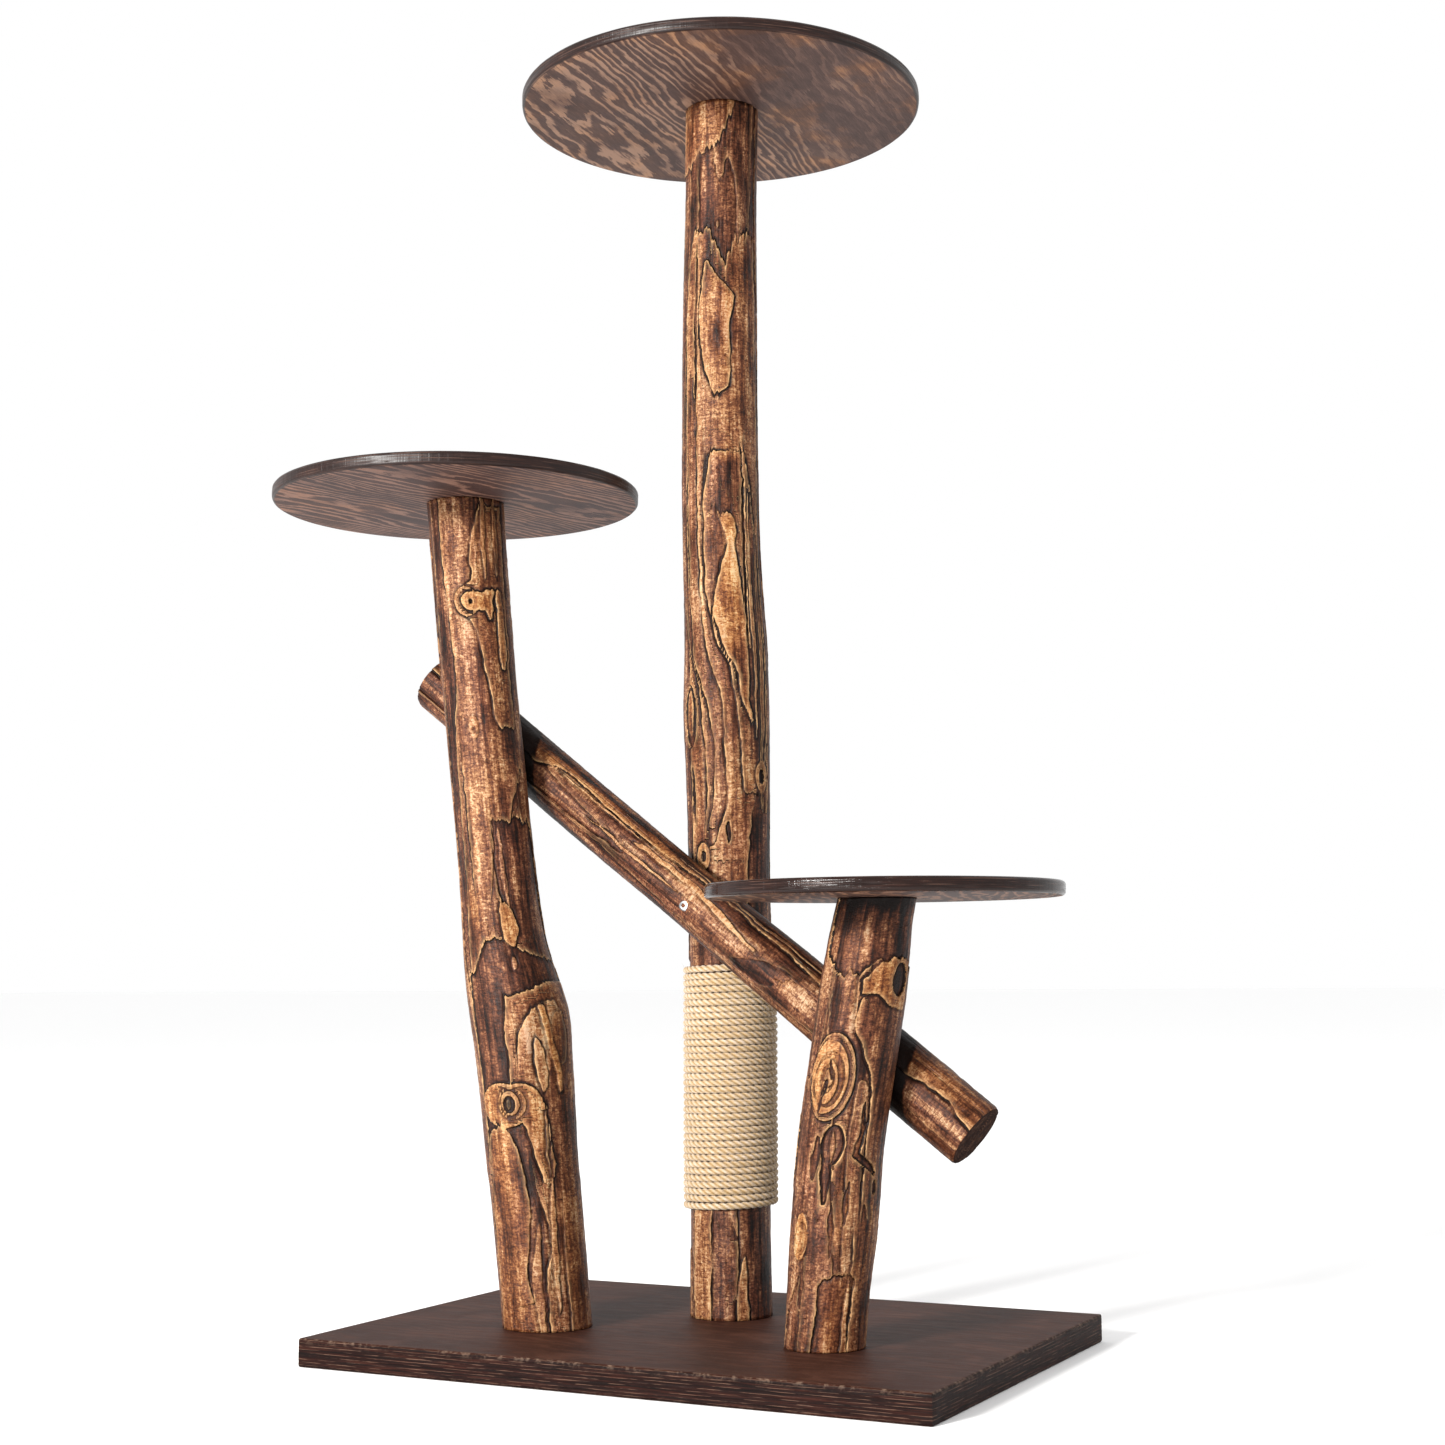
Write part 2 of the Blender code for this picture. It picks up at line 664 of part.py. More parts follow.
# ---- assembly -----------------------------------------------------------
def main():
    clear_scene()
    model = Model()
    base = make_base(model)

    posts = {}
    perches = (
        ("main", "top", MAIN_POST, MAIN_POST_Y,
         TOP_PLATE_CENTRE, TOP_PLATE_UNDERSIDE, TOP_PLATE_RADIUS),
        ("left", "middle", LEFT_POST, LEFT_POST_Y,
         MIDDLE_PLATE_CENTRE, MIDDLE_PLATE_UNDERSIDE, MIDDLE_PLATE_RADIUS),
        ("right", "low", RIGHT_POST, RIGHT_POST_Y,
         LOW_PLATE_CENTRE, LOW_PLATE_UNDERSIDE, LOW_PLATE_RADIUS),
    )
    for side, level, stations, y, centre, underside, radius in perches:
        post = make_post(model, f"{side}_post", stations, y, underside)
        plate = make_plate(model, f"{level}_plate", centre, underside, radius)
        posts[side] = post

        foot = (post_section(stations, BASE_THICKNESS)[0], y)
        make_bolted_joint(model, f"base_{side}", base, post, foot, 0.0, False,
                          BASE_THICKNESS, BASE_COUNTERBORE, BASE_BOLT_REACH)
        head = (post_section(stations, underside)[0], y)
        top = underside + PLATE_THICKNESS
        make_bolted_joint(model, f"{level}_plate", plate, post, head, top, True,
                          PLATE_THICKNESS, PLATE_COUNTERBORE, PLATE_BOLT_REACH)
        for label, offset in (("a", -SCREW_SPACING), ("b", SCREW_SPACING)):
            make_plate_screw(model, f"{level}_plate_screw_{label}", plate, post,
                             (head[0] + offset, y), top)

    brace = make_brace(model)
    make_brace_bolt(model, "brace_bolt_main", brace, posts["main"],
                    BRACE_BOLT_AT_MAIN, True)
    make_brace_bolt(model, "brace_bolt_left", brace, posts["left"],
                    BRACE_BOLT_AT_LEFT, False)
    make_brace_bolt(model, "brace_bolt_right", brace, posts["right"],
                    BRACE_BOLT_AT_RIGHT, False)

    make_rope(model)
    set_back = STAPLE_SET_BACK / (2 * math.pi)
    make_staple(model, posts["main"], "rope_staple_lower", set_back)
    make_staple(model, posts["main"], "rope_staple_upper", ROPE_TURNS - set_back)


main()
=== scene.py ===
"""Looks for the log cat tree: peeled and stained logs with raised growth
layers, dark plywood boards and real twisted sisal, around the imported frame.

Lengths in the shape code are millimetres until they reach a mesh.
"""

import math

import bpy
import numpy as np
from mathutils import Matrix, Vector


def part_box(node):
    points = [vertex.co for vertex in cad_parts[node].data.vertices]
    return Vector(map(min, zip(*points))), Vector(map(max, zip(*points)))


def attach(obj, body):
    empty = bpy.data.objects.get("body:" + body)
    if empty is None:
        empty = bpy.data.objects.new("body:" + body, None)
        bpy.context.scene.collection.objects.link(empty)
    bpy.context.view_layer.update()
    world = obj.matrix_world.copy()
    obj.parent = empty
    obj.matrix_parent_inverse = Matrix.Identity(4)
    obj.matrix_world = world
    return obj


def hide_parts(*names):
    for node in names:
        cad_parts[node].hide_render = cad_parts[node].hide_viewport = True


MM = 0.001
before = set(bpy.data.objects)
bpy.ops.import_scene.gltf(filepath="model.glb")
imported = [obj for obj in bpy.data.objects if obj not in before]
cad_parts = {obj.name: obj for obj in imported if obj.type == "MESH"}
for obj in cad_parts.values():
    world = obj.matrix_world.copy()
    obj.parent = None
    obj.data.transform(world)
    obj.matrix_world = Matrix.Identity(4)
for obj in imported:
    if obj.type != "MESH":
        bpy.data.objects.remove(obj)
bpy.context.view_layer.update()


# ---- small helpers ------------------------------------------------------
def linear(red, green, blue):
    """Linear colour from 0-255 display values."""
    channels = []
    for value in (red, green, blue):
        c = value / 255.0
        channels.append(c / 12.92 if c <= 0.04045 else ((c + 0.055) / 1.055) ** 2.4)
    return (*channels, 1.0)


def lattice(ix, iy, iz, seed):
    """Repeatable pseudo-random value from 0 to 1 for each lattice point."""
    h = (
        ix.astype(np.uint32) * np.uint32(374761393)
        + iy.astype(np.uint32) * np.uint32(668265263)
        + iz.astype(np.uint32) * np.uint32(2246822519)
        + np.uint32((seed * 3266489917) % 4294967296)
    )
    h = (h ^ (h >> np.uint32(15))) * np.uint32(2654435761)
    h = (h ^ (h >> np.uint32(13))) * np.uint32(1274126177)
    return ((h ^ (h >> np.uint32(16))) & np.uint32(0xFFFFFF)) / 16777215.0


def noise(x, y, z, seed=0):
    """Smooth value noise from -1 to 1."""
    x, y, z = np.broadcast_arrays(x, y, z)
    ix, iy, iz = (np.floor(c).astype(np.int64) for c in (x, y, z))
    fx, fy, fz = x - ix, y - iy, z - iz
    wx, wy, wz = (f * f * f * (f * (f * 6 - 15) + 10) for f in (fx, fy, fz))
    total = 0.0
    for dx in (0, 1):
        for dy in (0, 1):
            for dz in (0, 1):
                weight = (
                    (wx if dx else 1 - wx)
                    * (wy if dy else 1 - wy)
                    * (wz if dz else 1 - wz)
                )
                total = total + weight * lattice(ix + dx, iy + dy, iz + dz, seed)
    return total * 2.0 - 1.0


def curve_through(xs, ys, x):
    """Smooth (Catmull-Rom) curve through measured stations."""
    slopes = np.gradient(ys, xs)
    i = np.clip(np.searchsorted(xs, x) - 1, 0, len(xs) - 2)
    width = xs[i + 1] - xs[i]
    t = np.clip((x - xs[i]) / width, 0.0, 1.0)
    return (
        (2 * t**3 - 3 * t**2 + 1) * ys[i]
        + (t**3 - 2 * t**2 + t) * slopes[i] * width
        + (3 * t**2 - 2 * t**3) * ys[i + 1]
        + (t**3 - t**2) * slopes[i + 1] * width
    )


def node_vertices(node):
    """A CAD node's vertices in millimetres."""
    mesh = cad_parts[node].data
    flat = np.empty(len(mesh.vertices) * 3)
    mesh.vertices.foreach_get("co", flat)
    return flat.reshape(-1, 3) * 1000.0


def new_piece(name, mesh, replaced=()):
    piece = bpy.data.objects.new(name, mesh)
    bpy.context.scene.collection.objects.link(piece)
    mesh.shade_smooth()
    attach(piece, "root")
    if replaced:
        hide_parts(*replaced)
    return piece


def grid_faces(around, along, flip=False):
    """Quads of a tube of `along` rings with `around` vertices each."""
    i = np.arange(around)
    j = (i + 1) % around
    start = np.arange(along - 1)[:, None] * around
    quads = np.stack([start + i, start + j, start + around + j, start + around + i], -1)
    quads = quads.reshape(-1, 4)
    return quads[:, ::-1] if flip else quads


def mesh_from_arrays(name, vertices_mm, quads, extra_faces=()):
    mesh = bpy.data.meshes.new(name)
    faces = [tuple(int(v) for v in q) for q in quads]
    faces.extend(extra_faces)
    mesh.from_pydata((vertices_mm * MM).tolist(), [], faces)
    mesh.update()
    return mesh


def add_float(mesh, name, values):
    layer = mesh.attributes.new(name, "FLOAT", "POINT")
    layer.data.foreach_set("value", np.asarray(values, dtype=np.float32).ravel())


def add_vector(mesh, name, values):
    layer = mesh.attributes.new(name, "FLOAT_VECTOR", "POINT")
    layer.data.foreach_set("vector", np.asarray(values, dtype=np.float32).ravel())


# ---- shader helper ------------------------------------------------------
class Shader:
    """Short names for building one node material."""

    def __init__(self, name):
        self.material = bpy.data.materials.new(name)
        self.material.use_nodes = True
        self.tree = self.material.node_tree
        self.main = self.tree.nodes["Principled BSDF"]

    def node(self, kind, **settings):
        made = self.tree.nodes.new(kind)
        for key, value in settings.items():
            setattr(made, key, value)
        return made

    def put(self, socket, value):
        if isinstance(value, bpy.types.NodeSocket):
            self.tree.links.new(value, socket)
        elif value is not None:
            socket.default_value = value

    def attribute(self, name, output="Fac"):
        return self.node("ShaderNodeAttribute", attribute_name=name).outputs[output]

    def position(self):
        return self.node("ShaderNodeTexCoord").outputs["Object"]

    def feed(self, made, *values):
        """Fill a node's first sockets and give its first output."""
        for socket, value in zip(made.inputs, values):
            self.put(socket, value)
        return made.outputs[0]

    def math(self, operation, *values):
        return self.feed(self.node("ShaderNodeMath", operation=operation), *values)

    def plus(self, a, b):
        return self.math("ADD", a, b)

    def times(self, a, b):
        return self.math("MULTIPLY", a, b)

    def times_plus(self, a, b, c):
        return self.math("MULTIPLY_ADD", a, b, c)

    def span(self, value, low, high, to_low=0.0, to_high=1.0, kind="LINEAR"):
        made = self.node("ShaderNodeMapRange", interpolation_type=kind)
        return self.feed(made, value, low, high, to_low, to_high)

    def ease(self, value, low, high, to_low=0.0, to_high=1.0):
        return self.span(value, low, high, to_low, to_high, "SMOOTHSTEP")

    def vector(self, operation, a, b):
        return self.feed(self.node("ShaderNodeVectorMath", operation=operation), a, b)

    def split(self, vector):
        made = self.node("ShaderNodeSeparateXYZ")
        self.put(made.inputs[0], vector)
        return made.outputs

    def noise(self, place, scale, detail=3.0, rough=0.55, distortion=0.0):
        """Noise whose lumps are 1 / scale long in x, y and z."""
        made = self.node("ShaderNodeTexNoise")
        self.put(made.inputs["Vector"], self.vector("MULTIPLY", place, scale))
        settings = {"Scale": 1.0, "Detail": detail, "Roughness": rough, "Distortion": distortion}
        for key, value in settings.items():
            made.inputs[key].default_value = value
        return made.outputs["Fac"]

    def ramp(self, value, paint, *stops):
        """Colour from (place, red, green, blue) stops mixed by `paint`."""
        made = self.node("ShaderNodeValToRGB")
        elements = made.color_ramp.elements
        while len(elements) < len(stops):
            elements.new(0.5)
        for element, (place, *display) in zip(elements, stops):
            element.position = place
            element.color = paint(*display)
        self.put(made.inputs[0], value)
        return made.outputs["Color"]

    def dye(self, colour, by):
        return self.mix(1.0, colour, by, "MULTIPLY")

    def mix(self, amount, a, b, blend="MIX"):
        made = self.node("ShaderNodeMix", data_type="RGBA", blend_type=blend)
        self.put(made.inputs[0], amount)
        self.put(made.inputs[6], a)
        self.put(made.inputs[7], b)
        return made.outputs[2]

    def bump(self, height, distance_mm, strength=1.0, normal=None):
        made = self.node("ShaderNodeBump")
        made.inputs["Strength"].default_value = strength
        made.inputs["Distance"].default_value = distance_mm * MM
        self.put(made.inputs["Height"], height)
        self.put(made.inputs["Normal"], normal)
        return made.outputs["Normal"]

    def finish(self, colour=None, roughness=None, normal=None, **fixed):
        self.put(self.main.inputs["Base Color"], colour)
        self.put(self.main.inputs["Roughness"], roughness)
        self.put(self.main.inputs["Normal"], normal)
        for key, value in fixed.items():
            self.main.inputs[key.replace("_", " ")].default_value = value
        return self.material


# ---- materials ----------------------------------------------------------
def wood(red, green, blue):
    """Stain colour that looks like this display value in the key light."""
    r, g, b, _ = linear(red, green, blue)
    return (0.46 * r, 0.405 * g, 0.35 * b, 1.0)


def log_material(name, shift):
    """Brushed, stained log.  `edge` is the distance in mm to the nearest
    layer edge, positive on the layer that stands proud, and `weight` how
    clearly that edge shows; `tone` is how pale and `amber` how orange the
    layer is; `grain` is a place on the log."""
    s = Shader(name)
    grain = s.attribute("grain", "Vector")
    edge = s.attribute("edge")
    tone = s.attribute("tone")
    amber = s.attribute("amber")

    fibres = s.noise(grain, (0.6, 0.6, 0.05), 4.0, 0.6)
    streaks = s.noise(grain, (0.17, 0.17, 0.007), 3.0, 0.6, 0.3)
    patches = s.noise(grain, (0.06, 0.06, 0.022), 3.0, 0.6)
    hatch = s.noise(grain, (0.15, 0.15, 0.46), 4.0, 0.75, 1.0)
    flecks = s.noise(grain, (0.42, 0.42, 0.3), 3.0, 0.7, 0.8)

    value = s.plus(tone, s.span(streaks, 0.33, 0.67, -0.22, 0.22))
    value = s.plus(value, s.span(fibres, 0.3, 0.7, -0.1, 0.1))
    value = s.plus(value, s.span(patches, 0.34, 0.66, -0.24, 0.17))
    coarse = s.span(value, 0.15, 0.55, 0.3, 1.0)
    texture = s.plus(s.span(hatch, 0.36, 0.64, -0.26, 0.26), s.span(flecks, 0.36, 0.64, -0.18, 0.22))
    value = s.times_plus(texture, coarse, value)

    brown = s.ramp(
        value, wood,
        (0.0, 20, 8, 5), (0.12, 52, 26, 16), (0.26, 88, 52, 36), (0.44, 126, 80, 60),
        (0.6, 166, 118, 86), (0.78, 210, 166, 128), (1.0, 244, 216, 184),
    )
    orange = s.ramp(
        value, wood,
        (0.0, 34, 14, 6), (0.12, 80, 42, 20), (0.32, 132, 78, 42), (0.58, 188, 128, 74),
        (0.8, 226, 178, 118), (1.0, 248, 220, 176),
    )
    colour = s.mix(amber, brown, orange)
    violet = s.span(s.noise(grain, (0.04, 0.04, 0.012), 2.0), 0.5, 0.66, 0.0, 0.5)
    colour = s.mix(violet, colour, s.dye(colour, linear(225, 205, 220)))

    # dark groove under each edge, thin pale lip along its top
    ragged = s.noise(grain, (0.5, 0.5, 0.12), 3.0, 0.6)
    come_and_go = s.noise(grain, (0.05, 0.05, 0.03), 3.0, 0.6)
    line = s.times(s.attribute("weight"), s.span(come_and_go, 0.36, 0.56, 0.25, 1.0))
    wobble = s.plus(edge, s.span(ragged, 0.2, 0.8, -0.35, 0.35))
    groove = s.times(s.ease(wobble, -3.0, -0.7), s.ease(wobble, 0.0, 0.35, 1.0, 0.0))
    stain = s.times(s.ease(edge, -7.0, -1.0, 0.0, 0.38), s.span(edge, 0.0, 0.3, 1.0, 0.0))
    lip = s.times(s.ease(wobble, 0.05, 0.35), s.ease(wobble, 0.9, 2.1, 1.0, 0.0))
    rubbed = s.times(s.ease(edge, 0.3, 5.0, 1.0, 0.0), s.span(edge, 0.0, 0.3))
    lip = s.times(lip, s.span(ragged, 0.36, 0.6, 0.05, 0.75))
    lip = s.math("MAXIMUM", lip, s.times(rubbed, 0.22))
    lip = s.times(lip, line)
    groove = s.times(groove, line)
    colour = s.mix(s.times(stain, line), colour, wood(66, 38, 30))
    colour = s.mix(s.times(groove, 0.94), colour, wood(34, 16, 11))
    colour = s.mix(lip, colour, wood(244, 204, 154))
    colour = s.dye(colour, (1.0 + shift, 1.0, 1.0 - shift, 1.0))

    height = s.times_plus(hatch, 1.0, s.times(fibres, 0.4))
    height = s.times_plus(flecks, 0.3, height)
    step = s.times(s.ease(wobble, -1.0, 0.9, 0.0, 1.6), line)
    height = s.plus(height, s.math("SUBTRACT", step, groove))
    normal = s.bump(height, 0.7, 0.9)
    roughness = s.span(fibres, 0.3, 0.7, 0.4, 0.58)
    return s.finish(colour, roughness, normal, Specular_IOR_Level=0.15)


def end_grain_material():
    """Sawn end of the brace: growth rings, radial checks, dark stain."""
    s = Shader("end_grain")
    cut = s.attribute("cut", "Vector")
    ragged = s.noise(cut, (0.12, 0.12, 0.12), 3.0, 0.6)
    x, y, _ = s.split(cut)
    radius = s.math("SQRT", s.times_plus(x, x, s.times(y, y)))
    rings = s.math("SINE", s.times_plus(ragged, 6.0, s.times(radius, 2.4)))
    spokes = s.node("ShaderNodeTexNoise", noise_dimensions="1D")
    s.put(spokes.inputs["W"], s.times(s.math("ARCTAN2", y, x), 9.0))
    value = s.times_plus(rings, 0.1, s.span(ragged, 0.3, 0.7, 0.25, 0.65))
    value = s.times_plus(spokes.outputs["Fac"], 0.25, value)
    colour = s.ramp(value, wood, (0.2, 30, 12, 6), (0.6, 56, 32, 24), (0.85, 120, 90, 74))
    return s.finish(colour, 0.85, s.bump(value, 0.5, 0.7), Specular_IOR_Level=0.06)


def board_grain(s, centre, half, rings, seed):
    """Flat-sawn veneer: straight lines between two broad figured bands.
    `veneer` is mm across and along the grain.  Returns (pale wood 0-1,
    pores, slow patches)."""
    veneer = s.attribute("veneer", "Vector")
    place = s.vector("ADD", veneer, (0.0, 0.0, seed * 37.0))
    across = s.times_plus(s.split(veneer)[0], math.pi / half, -centre * math.pi / half)
    field = s.times(s.math("COSINE", across), rings / 2)
    broad = s.noise(place, (1 / 55, 1 / 150, 0.02), 3.0, 0.5)
    field = s.times_plus(broad, 5.4, field)
    torn = s.noise(place, (0.22, 0.03, 0.1), 4.0, 0.7)
    field = s.times_plus(torn, 1.1, field)
    saw = s.math("FRACT", field)
    pale = s.times(s.ease(saw, 0.48, 0.74), s.span(saw, 0.93, 1.0, 1.0, 0.0))
    pores = s.noise(place, (0.9, 0.06, 0.1), 4.0, 0.7)
    patches = s.noise(place, (0.02, 0.01, 0.1), 3.0, 0.6)
    return pale, pores, patches


def perch_material(name, centre, half, rings, stain_and_painted_shade, calm, gloss, seed):
    """Dark stained plywood perch with a lacquered rim.  `rim` is 1 on the
    rounded edge and `layer` the height through the board in mm.  The colour
    after `rings` is the stain's red, green and blue with painted shade in it,
    darker for the middle and low perches; `calm` is where across the grain the
    figure fades (mm, fully drawn to hardly seen) and `gloss` the rim's lowest
    roughness."""
    s = Shader(name)
    place = s.position()
    rim = s.attribute("rim")
    layer = s.attribute("layer")
    pale, pores, patches = board_grain(s, centre, half, rings, seed)
    across = s.split(s.attribute("veneer", "Vector"))[0]
    drawn = s.span(across, *calm, 0.74, 0.26)
    drawn = s.times(drawn, s.span(patches, 0.35, 0.6, 0.55, 1.0))
    value = s.times_plus(pale, drawn, s.span(patches, 0.3, 0.7, 0.16, 0.4))
    value = s.plus(value, s.span(pores, 0.3, 0.7, -0.14, 0.14))
    face = s.ramp(
        value, wood,
        (0.0, 66, 48, 46), (0.25, 98, 78, 75), (0.5, 134, 110, 102), (0.95, 206, 178, 158),
    )
    blotches = s.noise(place, (13.0, 13.0, 1.0), 4.0, 0.65)
    warm = s.times(s.span(blotches, 0.48, 0.62), s.span(across, *calm, 0.35, 1.0))
    face = s.mix(warm, face, s.dye(face, (1.65, 1.38, 0.92, 1.0)))
    # painted shade: this colour makes the middle and low perches' faces darker than the top one's
    face = s.dye(face, (*stain_and_painted_shade, 1.0))

    streak = s.noise(place, (26.0, 26.0, 900.0), 3.0, 0.6)
    plies = s.math("SINE", s.times(layer, 2 * math.pi / 2.5))
    lines = s.times(s.span(plies, 0.7, 0.98), s.span(streak, 0.5, 0.62))
    edge = s.ramp(
        s.span(streak, 0.3, 0.7, 0.1, 0.9), wood,
        (0.0, 20, 8, 5), (0.5, 40, 20, 15), (1.0, 66, 38, 30),
    )
    edge = s.mix(s.times(lines, 0.5), edge, wood(140, 112, 100))
    colour = s.mix(rim, face, edge)
    polish = s.span(streak, 0.35, 0.65, gloss, gloss + 0.14)
    rough = s.times_plus(rim, s.math("SUBTRACT", polish, 0.62), 0.62)
    height = s.times_plus(pale, 0.35, s.times(pores, 0.6))
    height = s.times_plus(lines, -0.6, height)
    normal = s.bump(height, 0.25, 0.8)
    return s.finish(colour, rough, normal, Specular_IOR_Level=0.25)


def base_material():
    """Thick stained plywood: matte dark top with faint grain, edges with
    broken ply lines, and a pale worn corner."""
    s = Shader("base_plywood_finish")
    place = s.position()
    side = s.attribute("side")
    layer = s.attribute("layer")
    worn = s.attribute("worn")
    pale, pores, patches = board_grain(s, 30.0, 160.0, 9.0, 4.0)
    value = s.times_plus(pale, 0.14, s.span(patches, 0.3, 0.7, 0.25, 0.52))
    value = s.plus(value, s.span(pores, 0.3, 0.7, -0.14, 0.14))
    top = s.ramp(
        value, wood,
        (0.1, 50, 26, 19), (0.45, 82, 51, 42), (0.7, 112, 76, 65), (0.95, 150, 112, 98),
    )
    long_streak = s.noise(place, (22.0, 22.0, 700.0), 4.0, 0.65)
    wave = s.times_plus(long_streak, 5.0, s.times(layer, 2 * math.pi / 2.7))
    plies = s.math("SINE", wave)
    breaks = s.noise(place, (38.0, 38.0, 420.0), 3.0, 0.6)
    lines = s.times(s.span(plies, 0.62, 0.96), s.span(breaks, 0.46, 0.58))
    edge = s.ramp(
        s.span(long_streak, 0.3, 0.7), wood,
        (0.0, 8, 2, 1), (0.5, 34, 10, 6), (1.0, 70, 36, 27),
    )
    edge = s.mix(s.times(lines, 0.75), edge, wood(136, 108, 96))
    colour = s.mix(side, top, edge)
    scuff = s.noise(place, (160.0, 160.0, 160.0), 4.0, 0.7)
    wear = s.times(worn, s.span(scuff, 0.5, 0.62))
    colour = s.mix(wear, colour, wood(150, 130, 118))
    rough = s.span(pores, 0.3, 0.7, 0.5, 0.66)
    height = s.times_plus(lines, 0.9, s.times(pores, 0.7))
    normal = s.bump(height, 0.3, 0.8)
    return s.finish(colour, rough, normal, Specular_IOR_Level=0.08)


def sisal(red, green, blue):
    r, g, b, _ = linear(red, green, blue)
    return (0.755 * r, 0.745 * g, 0.8 * b, 1.0)


def sisal_material():
    """Cream sisal: fine fibres along the rope, darker between strands as painted shade."""
    s = Shader("sisal_finish")
    fibre = s.attribute("fibre", "Vector")
    crown = s.attribute("crown")
    hair = s.noise(fibre, (2.6, 2.6, 0.22), 4.0, 0.7)
    tint = s.noise(fibre, (0.25, 0.25, 0.02), 3.0, 0.6)
    # painted shade: a low `crown`, between the strands, darkens the colour
    value = s.times_plus(crown, 0.48, s.span(hair, 0.3, 0.7, -0.02, 0.34))
    value = s.plus(value, s.span(tint, 0.3, 0.7, -0.08, 0.14))
    colour = s.ramp(
        value, sisal,
        (0.0, 104, 74, 32), (0.3, 164, 132, 80), (0.6, 196, 172, 134), (0.9, 234, 221, 203),
    )
    normal = s.bump(hair, 0.35, 1.0)
    return s.finish(
        colour, 0.78, normal, Specular_IOR_Level=0.25, Sheen_Weight=0.25, Sheen_Roughness=0.5,
    )


def metal_material(name, colour, base_rough):
    """Plated metal with fine turning marks and slight tarnish."""
    s = Shader(name)
    place = s.position()
    fine = s.noise(place, (900.0, 900.0, 900.0), 3.0, 0.6)
    cloudy = s.noise(place, (160.0, 160.0, 160.0), 2.0, 0.5)
    tint = s.mix(s.span(cloudy, 0.4, 0.7, 0.0, 0.35), colour, linear(150, 146, 138))
    rough = s.span(fine, 0.3, 0.7, base_rough - 0.05, base_rough + 0.1)
    return s.finish(tint, rough, s.bump(fine, 0.05, 0.5), Metallic=1.0)


# ---- logs ---------------------------------------------------------------
BED_GAP = 0.6               # mm between the brace's hollow and a post
ROPE_SEAT = -0.4            # highest relief in mm under the rope


class LogShape:
    """A log's measured axis and radius, and the frame its surface is
    described in: angle round the axis (degrees) and distance along it."""

    def __init__(self, node, origin, direction, across, ring_count):
        self.node = node
        self.origin = np.array(origin, dtype=float)
        self.direction = np.array(direction, dtype=float)
        self.across = np.array(across, dtype=float)
        self.third = np.cross(self.direction, self.across)
        points = node_vertices(node) - self.origin
        along = points @ self.direction
        sideways = points @ self.across
        stations, offsets, radii = [], [], []
        for station in np.unique(np.round(along, 1)):
            ring = sideways[np.abs(along - station) < 0.06]
            if len(ring) < ring_count or np.ptp(ring) < 50.0:
                continue
            stations.append(station)
            offsets.append((ring.max() + ring.min()) / 2)
            radii.append((ring.max() - ring.min()) / 2)
        keep = [0]
        for i in range(1, len(stations)):
            if stations[i] - stations[keep[-1]] > 0.5:
                keep.append(i)
        self.stations = np.array(stations)[keep]
        self.offsets = np.array(offsets)[keep]
        self.radii = np.array(radii)[keep]
        if self.stations[1] - self.stations[0] < 5.0:       # rounded sawn ends
            self.radii[0] = self.radii[1]
            self.radii[-1] = self.radii[-2]
        self.low = self.stations[0]
        self.high = self.stations[-1]

    def offset(self, s):
        return curve_through(self.stations, self.offsets, s)

    def radius(self, s):
        return curve_through(self.stations, self.radii, s)

    def centre(self, s):
        s = np.asarray(s, dtype=float)
        return (
            self.origin
            + s[..., None] * self.direction
            + self.offset(s)[..., None] * self.across
        )


def standing_log(node):
    low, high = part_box(node)
    middle_y = (low.y + high.y) / 2 / MM
    return LogShape(node, (0, middle_y, 0), (0, 0, 1), (1, 0, 0), 20)


def lying_log(node):
    """The brace: its axis runs between the centres of its two sawn ends."""
    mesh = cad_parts[node].data
    points = node_vertices(node)
    sawn = max(mesh.polygons, key=lambda face: face.area)
    normal = np.array(sawn.normal) * np.sign(sawn.normal.x)
    ends = {-1: set(), 1: set()}
    for face in mesh.polygons:
        facing = float(np.dot(np.array(face.normal), normal))
        if abs(facing) > 0.9999:
            ends[1 if facing > 0 else -1].update(face.vertices)
    first, last = (points[list(ends[side])] for side in (-1, 1))
    start = (first.max(0) + first.min(0)) / 2
    finish = (last.max(0) + last.min(0)) / 2
    direction = (finish - start) / np.linalg.norm(finish - start)
    across = np.cross(direction, (0.0, 1.0, 0.0))
    across /= np.linalg.norm(across)
    return LogShape(node, start, direction, across, 130)


